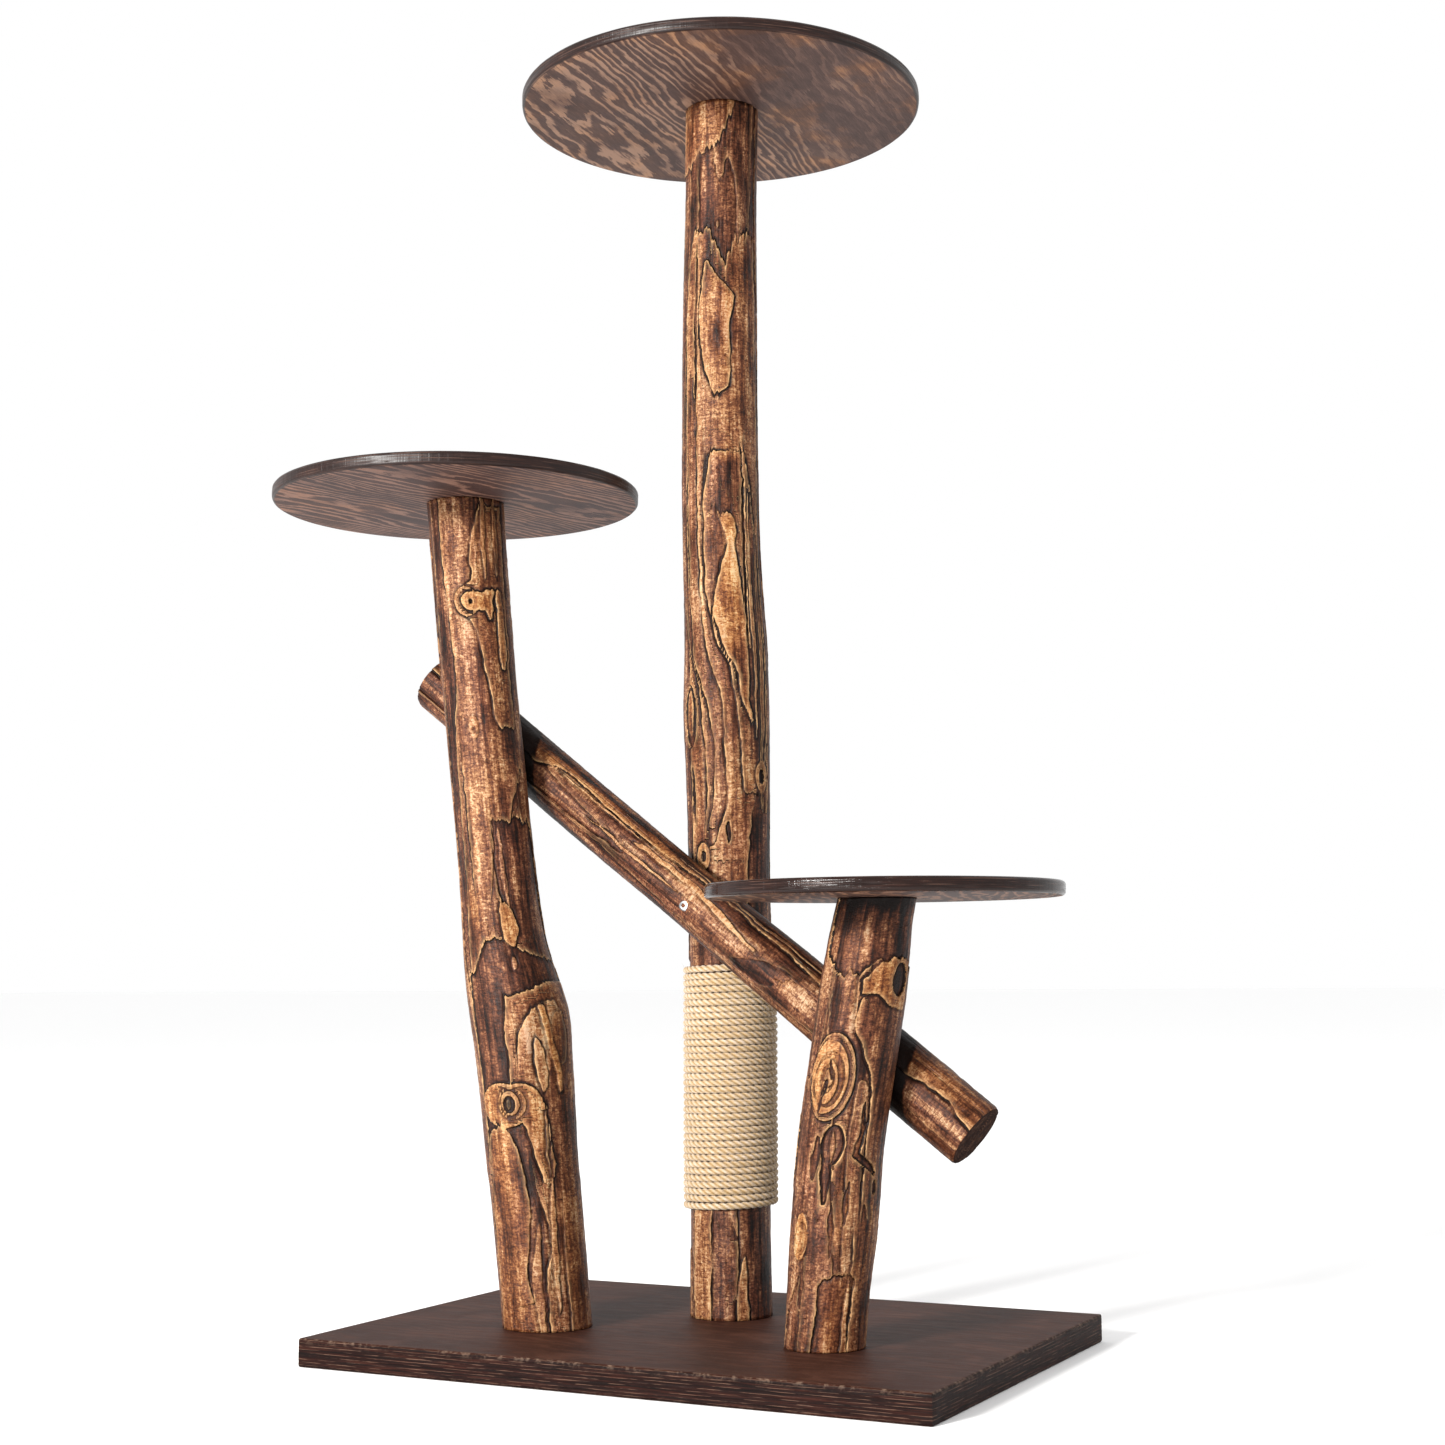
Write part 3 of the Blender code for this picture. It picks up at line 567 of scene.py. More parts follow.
class Layers:
    """Height, edge distance and colour of a log's peeled growth layers, on a
    grid of angle x distance along the log.

    A layer's outline is a field: mm inside it (negative outside), made by
    the methods below and combined with np.minimum / np.maximum."""

    def __init__(self, shape, around, along, seed, rings, run, tone=0.45):
        self.seed = seed
        self.angle = np.arange(around) * (360.0 / around)
        self.s = np.linspace(shape.low, shape.high, along)
        self.radius = shape.radius(self.s)[:, None]
        turn = np.radians(self.angle)[None, :]
        self.mean_radius = float(self.radius.mean())
        self.x = self.mean_radius * np.cos(turn) + 0 * self.s[:, None]
        self.y = self.mean_radius * np.sin(turn) + 0 * self.s[:, None]
        self.z = self.s[:, None] + 0 * turn
        self.step_a = math.radians(360.0 / around) * self.mean_radius
        self.step_s = self.s[1] - self.s[0]
        # fibres tear at slightly different lengths
        self.tear = 5.5 * noise(self.x / 2.6, self.y / 2.6, self.z / 70, seed + 11)
        self.tear += 3.0 * noise(self.x / 1.3, self.y / 1.3, self.z / 50, seed + 12)
        self.sway = 1.1 * noise(self.x / 30, self.y / 30, self.z / 26, seed + 13)
        self.sway += 0.9 * noise(self.x / 8, self.y / 8, self.z / 9, seed + 14)
        self.sway += 0.45 * noise(self.x / 3, self.y / 3, self.z / 4.5, seed + 15)
        self.lay_base(rings, run, tone)

    def lay_base(self, rings, run, tone):
        broad = noise(self.x / 21, self.y / 21, self.z / run, self.seed)
        narrow = noise(self.x / 11, self.y / 11, self.z / (run * 0.7), self.seed + 1)
        field = rings * broad + 0.18 * rings * narrow + 0.03 * self.sway
        level = np.floor(field)
        part = field - level
        slope = np.maximum(self.slope(field), 1e-4)
        self.edge = np.where(part < 0.5, part, part - 1.0) / slope
        self.height = -0.85 * (part - 0.5)
        pick = lattice(level.astype(int), level.astype(int) * 3, level.astype(int) * 0, 5)
        self.tone = tone + 0.16 * (pick - 0.5) + 0.1 * (0.5 - part)
        self.amber = np.clip(0.15 + 0.5 * (pick - 0.55), 0.0, 1.0)
        self.weight = 0.55 + 0 * self.z

    def slope(self, field):
        wrapped = np.concatenate([field[:, -1:], field, field[:, :1]], 1)
        da = (wrapped[:, 2:] - wrapped[:, :-2]) / (2 * self.step_a)
        ds = np.gradient(field, self.step_s, axis=0)
        steep = np.hypot(da, ds)
        padded = np.concatenate([steep[:, -1:], steep, steep[:, :1]], 1)
        return (padded[:, 2:] + padded[:, :-2] + 2 * steep) / 4

    def turned(self, angle):
        """Angle of every grid point from `angle`, -180 to 180 degrees."""
        return (self.angle[None, :] - angle + 180.0) % 360.0 - 180.0

    def right_of(self, line, torn=0.0):
        """Right-hand side of a line of (height, angle) points."""
        line = np.array(sorted(line), dtype=float)
        place = np.interp(self.z + torn * self.tear, line[:, 0], line[:, 1])
        away = self.turned(line[:, 1].mean()) - (place - line[:, 1].mean())
        return np.radians(away) * self.radius + self.sway

    def span(self, low, high, torn_low=0.3, torn_high=0.3):
        return np.minimum(
            self.z + torn_low * self.tear - low, high - self.z - torn_high * self.tear,
        )

    def between(self, left, right, torn=0.3):
        """From one line of (height, angle) points to another."""
        low = max(min(left)[0], min(right)[0])
        high = min(max(left)[0], max(right)[0])
        sides = np.minimum(self.right_of(left), -self.right_of(right))
        return np.minimum(sides, self.span(low, high, torn, torn))

    def below(self, line, torn=0.8, side=1.0):
        """Under a line of (angle, height) points; nothing beyond its ends."""
        line = np.array(sorted(line), dtype=float)
        middle = (line[0, 0] + line[-1, 0]) / 2
        turned = self.turned(middle)
        level = np.interp(turned, line[:, 0] - middle, line[:, 1])
        reach = (line[-1, 0] - line[0, 0]) / 2 - np.abs(turned)
        sides = np.radians(reach) * self.radius + self.sway
        return np.minimum(side * (level - self.z - torn * self.tear), sides)

    def above(self, line, torn=0.8):
        return self.below(line, torn, -1.0)

    def arc(self, angle):
        """Distance in mm round the log from an angle."""
        return np.radians(self.turned(angle)) * self.radius

    def spot(self, angle, s, width, length):
        """Soft-edged patch, 1 in the middle."""
        return np.exp(-((self.arc(angle) / width) ** 2) - ((self.z - s) / length) ** 2)

    def oval(self, angle, s, half_width, half_length, tilt=0.0):
        across = self.arc(angle) + 0.5 * self.sway
        up = self.z - s
        across = across - tilt * up
        size = min(half_width, half_length)
        return (1.0 - np.hypot(across / half_width, up / half_length)) * size

    def leaf(self, angle, low, high, half_width, lean=0.0, pointed=1.0):
        """Long eye shape; `pointed` 1 gives sharp ends, 2 blunt ones."""
        t = (self.z + 0.4 * self.tear - (low + high) / 2) / ((high - low) / 2)
        across = self.arc(angle) + self.sway - lean * t
        width = half_width * np.sqrt(np.clip(1 - np.abs(t) ** pointed, 0, 1))
        ends = (1 - np.abs(t)) * (high - low) / 2
        return np.minimum(width - np.abs(across), ends)

    def fade(self, low, high, over=70.0):
        """1 between two heights, easing to 0 outside them."""
        inside = np.minimum(self.z - low, high - self.z) + 8 * self.sway
        return np.clip(inside / over + 1.0, 0.0, 1.0)

    def lay(self, field, rise, tone, amber=0.2, strength=1.0, weight=1.3):
        """Add a layer, or with a negative rise cut one away.  Where the
        strength falls to 0 its edge closes up and it merges with the rest;
        `weight` is how crisply the edge shows."""
        inside = field / np.maximum(self.slope(field), 0.3)
        mine = (inside > 0) & (strength > 0.02)
        signed = inside if rise > 0 else -inside
        signed = signed + np.sign(signed) * 5.0 * (1.0 - strength)
        near = np.abs(signed) < np.abs(self.edge)
        solid = mine & (strength > 0.55)
        self.edge = np.where(solid | near, signed, self.edge)
        self.weight = np.where(solid | near, weight * np.clip(1.6 * strength, 0, 1), self.weight)
        share = strength * mine
        self.height = self.height + share * (rise - 0.7 * self.height)
        self.tone = self.tone + share * (tone - self.tone)
        self.amber = self.amber + share * (amber - self.amber)

    def rings(self, angle, s, half_width, half_length, count, amber, core_tone):
        """Uneven rings of wood round a branch stub, from the outside in."""
        for i in range(count):
            share = 1.0 - (i + 0.25 * (i % 2)) / (count + 0.3)
            rise = 0.75 if i % 2 == 0 else -0.2
            field = self.oval(
                angle + 2.5 * math.sin(2.1 * i), s + 0.06 * half_length * math.cos(1.7 * i),
                half_width * share, half_length * share,
            ) + 0.35 * self.sway * math.sin(i + 1.0)
            tone = core_tone if i == count - 1 else 0.62 - 0.08 * (i % 2)
            self.lay(field, rise, tone, amber, weight=0.75 - 0.1 * (i % 2))

    def tint(self, *spots):
        """Darken or lighten soft spots: stain, bleaching, and where marked, painted
        shade.  Each is angle, height, width, length, how much paler, and how much more orange if that
        changes too."""
        for angle, s, width, length, tone, *amber in spots:
            blend = self.spot(angle, s, width, length)
            self.tone = self.tone + tone * blend
            self.amber = np.clip(self.amber + sum(amber) * blend, 0.0, 1.0)

    def swell(self, angle, s, width, length, rise):
        self.height = self.height + rise * self.spot(angle, s, width, length)

    def wild(self, count, centre_angle, spread, rng):
        """Layers and recesses on the sides the photograph does not show."""
        for _ in range(count):
            angle = centre_angle + rng.uniform(-spread, spread)
            length = rng.uniform(50, 190)
            low = rng.uniform(self.s[0], self.s[-1] - 0.5 * length)
            field = self.leaf(
                angle, low, low + length, rng.uniform(5, 14),
                rng.uniform(-5, 5), rng.uniform(1.0, 6.0),
            )
            if rng.random() < 0.62:
                self.lay(field, 0.75, rng.uniform(0.42, 0.62), rng.uniform(0, 0.6))
            else:
                self.lay(field, -0.6, rng.uniform(0.25, 0.4), 0.0)
            if rng.random() < 0.3:
                wide, tall = rng.uniform(3.5, 7), rng.uniform(6, 14)
                self.rings(angle, low + length * 0.6, wide, tall, 3, 0.6, 0.1)

    def relief(self):
        """Radial offset in mm, with the groove and lip at each edge."""
        lumps = 1.0 * noise(self.x / 34, self.y / 34, self.z / 120, self.seed + 21)
        fibres = 0.12 * noise(self.x / 2.0, self.y / 2.0, self.z / 22, self.seed + 22)
        fibres += 0.17 * noise(self.x / 3.4, self.y / 3.4, self.z / 3.6, self.seed + 23)
        groove = np.where(self.edge < 0, -0.5 * np.exp(self.edge / 1.3), 0.0)
        lip = np.where(self.edge > 0, 0.15 * np.exp(-self.edge / 0.9), 0.0)
        return self.height + lumps + fibres + groove + lip


def press_against(points, posts):
    """Move points out of the posts that a log is hollowed to sit against."""
    for post in posts:
        height = np.clip(points[:, 2], post.low, post.high)
        away = points - post.centre(height)
        away[:, 2] = 0.0
        distance = np.linalg.norm(away, axis=1)
        limit = post.radius(height) + BED_GAP
        inside = distance < limit
        points[inside] += (away * (limit / distance - 1)[:, None])[inside]


def log_end(shape, rim, middle, rings, sawn):
    """Rings of points from just inside a log's rim towards its middle."""
    for ring in range(1, rings):
        inner = middle + (rim - middle) * (1.0 - ring / rings)
        if sawn:
            saw = 0.18 * noise(inner[:, 0] / 9, inner[:, 1] / 9, inner[:, 2] / 3, 77)
            inner = inner + shape.direction * saw[:, None]
        yield inner


def build_log(name, shape, layers, material, sawn=None, beds=(), wound=None):
    """The log's skin, closed at both ends.  `beds` are other logs that this
    one is hollowed to sit against; `wound` the heights covered by rope."""
    around, along = len(layers.angle), len(layers.s)
    relief = layers.relief()
    if wound:
        covered = (layers.z > wound[0]) & (layers.z < wound[1])
        relief = np.where(covered, np.minimum(relief, ROPE_SEAT), relief)
    reach = layers.radius + relief
    if sawn:
        from_end = np.minimum(layers.s - layers.s[0], layers.s[-1] - layers.s)
        reach = reach - 0.9 * np.exp(-from_end / 0.7)[:, None]
    turn = np.radians(layers.angle)[None, :, None]
    outward = np.cos(turn) * shape.across + np.sin(turn) * shape.third
    centre = shape.centre(layers.s)
    points = (centre[:, None, :] + reach[..., None] * outward).reshape(-1, 3)
    press_against(points, beds)

    grain = np.stack([layers.x, layers.y, layers.z], -1).reshape(-1, 3)
    plain = {"edge": 6.0, "tone": 0.4, "amber": 0.0, "weight": 0.0}     # on the ends
    values = {key: [getattr(layers, key).ravel()] for key in plain}
    values["edge"] = [np.clip(layers.edge, -14, 14).ravel()]
    grains, cuts = [grain], [np.zeros((len(points), 3))]
    vertices, faces, closing = [points], [grid_faces(around, along)], []
    skin_faces = len(faces[0])
    count = len(points)
    j = np.roll(np.arange(around), -1)
    for end, row in ((0, 0), (1, along - 1)):
        rim = np.arange(row * around, (row + 1) * around)
        previous = rim
        for inner in log_end(shape, points[rim], centre[row], 10 if sawn else 2, sawn):
            vertices.append(inner)
            flat = inner - centre[row]
            for key, value in plain.items():
                values[key].append(np.full(around, value))
            grains.append(grain[rim])
            face = np.full(around, end * 50.0)
            cuts.append(np.stack([flat @ shape.across, flat @ shape.third, face], -1))
            current = np.arange(count, count + around)
            count += around
            band = np.stack([previous, previous[j], current[j], current], -1)
            faces.append(band if end else band[:, ::-1])
            previous = current
        loop = tuple(int(v) for v in previous)
        closing.append(loop if end else loop[::-1])

    mesh = mesh_from_arrays(name, np.concatenate(vertices), np.concatenate(faces), closing)
    for key in plain:
        add_float(mesh, key, np.concatenate(values[key]))
    add_vector(mesh, "grain", np.concatenate(grains))
    add_vector(mesh, "cut", np.concatenate(cuts))
    mesh.materials.append(material)
    piece = new_piece(name, mesh, (shape.node,))
    if sawn:
        mesh.materials.append(sawn)
        slots = np.zeros(len(mesh.polygons), dtype=np.int32)
        slots[skin_faces:] = 1
        mesh.polygons.foreach_set("material_index", slots)
        mesh.set_sharp_from_angle(angle=math.radians(50))
    return piece


def make_main_log(shape):
    log = Layers(shape, 280, 350, 3, 1.3, 260)
    log.wild(15, 117, 80, np.random.default_rng(31))
    # old outer wood left over the top end
    log.lay(log.above([
        (-190, 1120), (-135, 1120), (-118, 1122), (-104, 1134), (-86, 1138), (-66, 1144), (-58, 1160),
        (-42, 1182),
    ], 0.9), 0.8, 0.5, 0.35)
    log.tint(
        (-75, 1092, 14, 34, 0.2, 0.1), (-10, 1120, 16, 40, -0.12), (-60, 1112, 22, 14, -0.12),
        (-118, 1085, 8, 60, -0.1),
    )
    # broad plate with an M-shaped torn top
    log.lay(np.minimum(
        log.between([(380, -128), (700, -124), (960, -122), (1070, -119)],
                    [(380, 5), (850, 4), (1070, 2)]),
        log.below([
            (-122, 1006), (-112, 1044), (-104, 1056), (-92, 1050), (-84, 1057), (-69, 1041),
            (-55, 1022), (-42, 1042), (-30, 1050), (-22, 1055), (3, 1050),
        ], 1.1),
    ), 0.7, 0.47, 0.3, weight=1.6)
    log.tint((-30, 930, 20, 140, -0.14), (-75, 870, 16, 26, 0.14))
    # its left side runs down as long parallel lines
    line_a = [(445, -112), (461, -83), (502, -63), (549, -67), (585, -68), (606, -71), (635, -86),
              (670, -95), (800, -98), (905, -105), (985, -104)]
    line_b = [(509, -42), (559, -46), (597, -51), (635, -62), (655, -77), (700, -87), (787, -88),
              (838, -79)]
    line_d = [(475, -92), (512, -81), (559, -80), (597, -90), (637, -112), (700, -117), (900, -117)]
    line_e = [(455, -101), (512, -92), (560, -94), (608, -101), (660, -128), (740, -133)]
    low_right = [(400, -20), (560, -2), (1100, 6)]
    log.lay(log.between(line_e + [(1000, -133)], low_right), 0.3, 0.38, 0.2, log.fade(500, 680))
    log.lay(log.between(line_d + [(1000, -117)], low_right), 0.6, 0.42, 0.1, log.fade(500, 800))
    log.lay(log.between(line_a, low_right), 0.8, 0.54, 0.25, log.fade(480, 900))
    log.lay(np.minimum(
        log.between(line_b, low_right),
        log.below([(-92, 790), (-80, 836), (-69, 847), (-46, 846), (-34, 854), (-27, 846),
                   (-14, 800), (6, 690)], 1.7),
    ), 1.1, 0.42, 0.15, weight=1.6)
    log.tint((-52, 836, 14, 7, 0.28, 0.5), (-84, 780, 4, 60, 0.16))
    log.lay(log.leaf(-101, 850, 1045, 1.6), -0.3, 0.4, 0.3)
    # raised island
    log.lay(log.between(
        [(893, -71), (917, -85), (935, -91), (979, -95), (1001, -92), (1013, -90), (1024, -87)],
        [(893, -63), (901, -51), (917, -47), (960, -47), (992, -42), (999, -51), (1012, -69),
         (1024, -81)],
        0.8,
    ), 1.4, 0.54, 0.4, weight=1.7)
    log.tint((-70, 945, 6, 24, -0.3), (-76, 990, 6, 18, 0.12), (-50, 980, 5, 16, 0.16, 0.5))
    # flame under the jagged plate
    log.lay(log.between(
        [(576, -31), (600, -44), (621, -48), (641, -61), (665, -73), (678, -80), (699, -74),
         (728, -63), (747, -55), (759, -58), (770, -65), (779, -69)],
        [(576, -28), (600, -33), (665, -33), (678, -31), (699, -35), (728, -41), (747, -46),
         (759, -42), (770, -43), (779, -52)],
        1.2,
    ), 1.7, 0.58, 0.75, weight=1.6)
    log.tint((-50, 735, 8, 26, 0.1, 0.35), (-40, 625, 9, 26, -0.22, -0.4), (-58, 700, 6, 8, -0.1))
    log.lay(log.leaf(-30, 650, 850, 1.6), -0.2, 0.34, 0.0)
    log.lay(log.leaf(-22, 560, 800, 2.2), 0.9, 0.44, 0.4)
    log.lay(log.leaf(-10, 480, 760, 3.0, 2.0), 0.5, 0.46, 0.5)
    log.tint((-27, 523, 10, 12, 0.16, 0.5))
    # dark smooth side below
    log.lay(log.between([(380, -38), (440, -38), (490, -30), (508, -22)],
                        [(380, 30), (508, 14)], 0.2), -0.7, 0.24, 0.0, log.fade(380, 490, 20))
    log.lay(log.oval(-119, 583, 9, 29), -0.5, 0.36, 0.3)
    log.lay(log.oval(-119, 586, 5, 22), 0.4, 0.46, 0.5)
    for crack in ((-117, 478, 536, 2.2), (-64, 463, 484, 2.2)):
        log.lay(log.leaf(*crack), -0.9, 0.08, 0.4)
    for angle, s, wide, tall in ((-12, 525, 3.6, 7.0), (-101, 450, 3.0, 5.0)):
        log.lay(log.oval(angle, s, wide + 4.5, tall + 8), 0.5, 0.6, 0.8)
        log.lay(log.oval(angle, s, wide, tall), -1.4, -0.1, 0.0)
    # under the rope
    log.lay(log.between([(0, -54), (130, -53)], [(0, 40), (130, 40)], 0.0), -0.6, 0.28, 0.0)
    log.lay(log.between([(0, -124), (130, -124)], [(0, -92), (130, -90)], 0.0), 0.5, 0.6, 0.35)
    log.lay(log.leaf(-46, -40, 82, 6.5), 0.6, 0.56, 0.45)
    low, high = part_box("sisal_rope")
    return build_log(
        "main_log", shape, log, log_material("main_log_finish", 0.0),
        wound=(low.z / MM - 1.0, high.z / MM + 1.0),
    )


def make_left_log(shape):
    log = Layers(shape, 290, 330, 17, 1.2, 240, tone=0.43)
    log.wild(11, 123, 80, np.random.default_rng(5))
    # hatched middle, with a long line down its left side
    left_line = [(340, -116), (579, -103), (607, -94), (655, -94), (693, -97), (747, -101), (800, -103)]
    middle_line = [(571, -31), (578, -38), (616, -43), (649, -50), (664, -54), (673, -62), (678, -72),
                   (685, -79), (693, -80), (702, -75), (712, -55), (731, -57), (745, -53), (785, -39)]
    log.lay(log.between(left_line, [(340, 25), (800, 25)], 0.0), 0.5, 0.45, 0.1)
    log.tint(
        (-75, 740, 7, 60, 0.2), (-70, 610, 10, 60, 0.15), (-110, 600, 12, 200, -0.08),
        (-22, 560, 12, 120, -0.12), (-52, 735, 3.5, 30, -0.25),
    )
    log.lay(log.between(middle_line, [(560, -4), (800, 2)], 0.3), 1.0, 0.46, 0.3)
    for sliver in ((-34, 712, 800, 2.6, 1.0), (-14, 715, 800, 2.6, 1.0)):
        log.lay(log.leaf(*sliver), 0.8, 0.48, 0.4, weight=0.6)
    log.lay(log.oval(-65, 691, 11.5, 14.5), 1.0, 0.48, 0.35, weight=1.0)
    log.lay(log.between([(626, -18), (640, -22), (703, -20)],
                        [(626, -12), (640, -8), (685, -9), (703, -12)]), 1.5, 0.58, 0.7)
    log.lay(np.maximum.reduce([
        log.oval(-59, 691, 8.5, 9),
        log.between([(682, -60), (700, -60)], [(682, -26), (700, -26)], 0.1),
        log.between([(674, -33), (688, -40), (697, -40), (703, -36)],
                    [(674, -29), (688, -27), (703, -21)], 0.3),
    ]), 1.6, 0.7, 0.85, weight=1.6)
    log.lay(log.oval(-59, 691, 1.7, 2.0), -1.2, -0.1, 0.0)
    log.lay(log.oval(-71, 571, 5, 11), 0.6, 0.6, 0.4, weight=0.4)
    log.lay(log.oval(-71, 569, 1.6, 4.0), -0.6, 0.15, 0.2, weight=0.6)
    # plate that ends raggedly over a long recess
    log.lay(
        log.above([(-95, 300), (-62, 440), (-60, 482), (-41, 480), (-31, 482), (-26, 492),
                   (-16, 508), (-5, 527), (20, 575)], 0.8),
        0.9, 0.5, 0.2, log.fade(430, 520, 50),
    )
    log.lay(log.between([(350, -46), (400, -52), (415, -57), (447, -61), (465, -58), (484, -58)],
                        [(350, 45), (420, 25), (484, 10)], 0.7), -0.7, 0.28, 0.0)
    log.lay(log.leaf(-47, 400, 478, 2.4, -2.0), 0.1, 0.6, 0.1, weight=0.4)
    log.tint((-30, 440, 4, 30, 0.16, 0.1), (-38, 405, 3, 14, -0.16))
    # smooth dark hollow under an arch
    log.lay(log.below([
        (-121, 342), (-110, 344), (-100, 355), (-93, 364), (-84, 371), (-70, 375), (-59, 374),
        (-46, 366), (-30, 362), (40, 350),
    ], 0.4), -0.6, 0.32, 0.05)
    log.tint(
        (-62, 350, 9, 26, -0.1), (-66, 338, 5, 26, 0.24), (-76, 352, 4, 12, 0.12),
        (-34, 345, 10, 16, -0.08),
    )
    log.lay(log.between(
        [(366, -48), (373, -58), (400, -60), (408, -57)],
        [(366, -44), (382, -34), (391, -37), (401, -42), (408, -51)], 0.3,
    ), 1.2, 0.52, 0.75, weight=0.9)
    log.lay(log.oval(-50, 352, 2.4, 6, 0.1), 0.6, 0.8, 0.1, weight=0.7)
    log.tint((-100, 400, 9, 22, 0.1, 0.4))
    # branch whorl on the bulge
    log.swell(-20, 290, 26, 34, 1.6)
    log.lay(np.minimum(
        log.between([(200, -78), (265, -80), (292, -76), (335, -69)], [(200, 40), (335, 40)], 0.0),
        log.below([(-76, 322), (-63, 323), (-52, 324), (-39, 327), (-22, 333), (7, 342), (45, 345)], 0.4),
    ), 0.8, 0.5, 0.3, log.fade(255, 400, 45))
    log.lay(np.minimum(
        log.between([(240, -66), (274, -65), (287, -62), (320, -58)], [(240, 0), (320, 0)], 0.0),
        log.below([(-66, 270), (-61, 287), (-52, 301), (-40, 311), (-26, 317), (-10, 319),
                   (5, 300)], 0.3),
    ), 1.2, 0.7, 0.3, log.fade(270, 400, 25))
    log.tint((-58, 285, 7, 30, 0.14))
    log.lay(log.oval(-8, 284, 10, 24), 0.6, 0.34, 0.5, weight=0.8)
    log.lay(log.between([(235, -14), (262, -22), (288, -30), (314, -34)],
                        [(235, -8), (262, -12), (288, -22), (314, -24)], 0.2), 1.3, 0.6, 0.95)
    log.lay(log.leaf(-38, 236, 284, 5.5, -2.0, 2.0), 0.7, 0.62, 0.3)
    # tan plate with a stub and a long tail
    log.lay(np.maximum(
        np.maximum(log.oval(-88, 224, 25, 20), log.oval(-66, 227, 20, 17)),
        log.between([(151, -44), (158, -47), (172, -52), (189, -56), (203, -61), (215, -72), (236, -60)],
                    [(151, -41), (158, -35), (172, -29), (212, -34), (225, -38), (236, -46)], 0.1),
    ), 1.3, 0.6, 0.7)
    log.lay(log.oval(-77, 226, 13, 14.5), 0.5, 0.56, 0.75, weight=0.6)
    log.lay(log.oval(-79, 226, 8.8, 11), 1.0, 0.66, 0.7, weight=0.8)
    log.lay(log.oval(-80, 225, 5.8, 7.6), -0.5, 0.2, 0.35, weight=1.0)
    log.lay(log.oval(-81, 225, 2.4, 4.6), 0.2, 0.3, 0.3, weight=0.3)
    log.lay(log.leaf(-37, 160, 225, 1.4, 1.0), 0.6, 0.3, 0.4, weight=0.9)
    # smooth plate below it, then lines fanning down to the base
    low_left = [(20, -130), (208, -118)]
    line_u = [(20, -64), (45, -68), (71, -77), (106, -70), (132, -66), (167, -70), (185, -74),
              (198, -81), (206, -93)]
    log.lay(np.minimum(
        log.between(low_left, line_u, 0.0),
        log.below([(-135, 150), (-122, 188), (-112, 200), (-98, 206), (-86, 204), (-76, 190),
                   (-55, 120)], 0.3),
    ), 0.6, 0.38, 0.45)
    log.tint((-95, 170, 8, 30, 0.1, 0.3))
    line_v = [(20, -53), (62, -53), (80, -50), (97, -42), (119, -44), (150, -56), (176, -60), (203, -68)]
    log.lay(log.between(line_v, [(20, 35), (240, 35)], 0.1), 0.7, 0.5, 0.3, log.fade(0, 130, 50))
    log.lay(log.between([(20, -66), (70, -72), (100, -64), (120, -58)],
                        [(20, -58), (70, -58), (100, -56), (120, -54)], 0.3), 0.3, 0.58, 0.3, weight=0.5)
    line_w = [(20, -25), (105, -25), (140, -22), (215, -20)]
    log.lay(log.between(line_w, [(20, 40), (215, 30)], 0.1), 0.9, 0.44, 0.45, log.fade(0, 100, 70),
            weight=0.8)
    log.lay(log.leaf(-38, 40, 160, 3.0, 1.5), 1.0, 0.58, 0.4, weight=0.7)
    return build_log("left_log", shape, log, log_material("left_log_finish", 0.01))


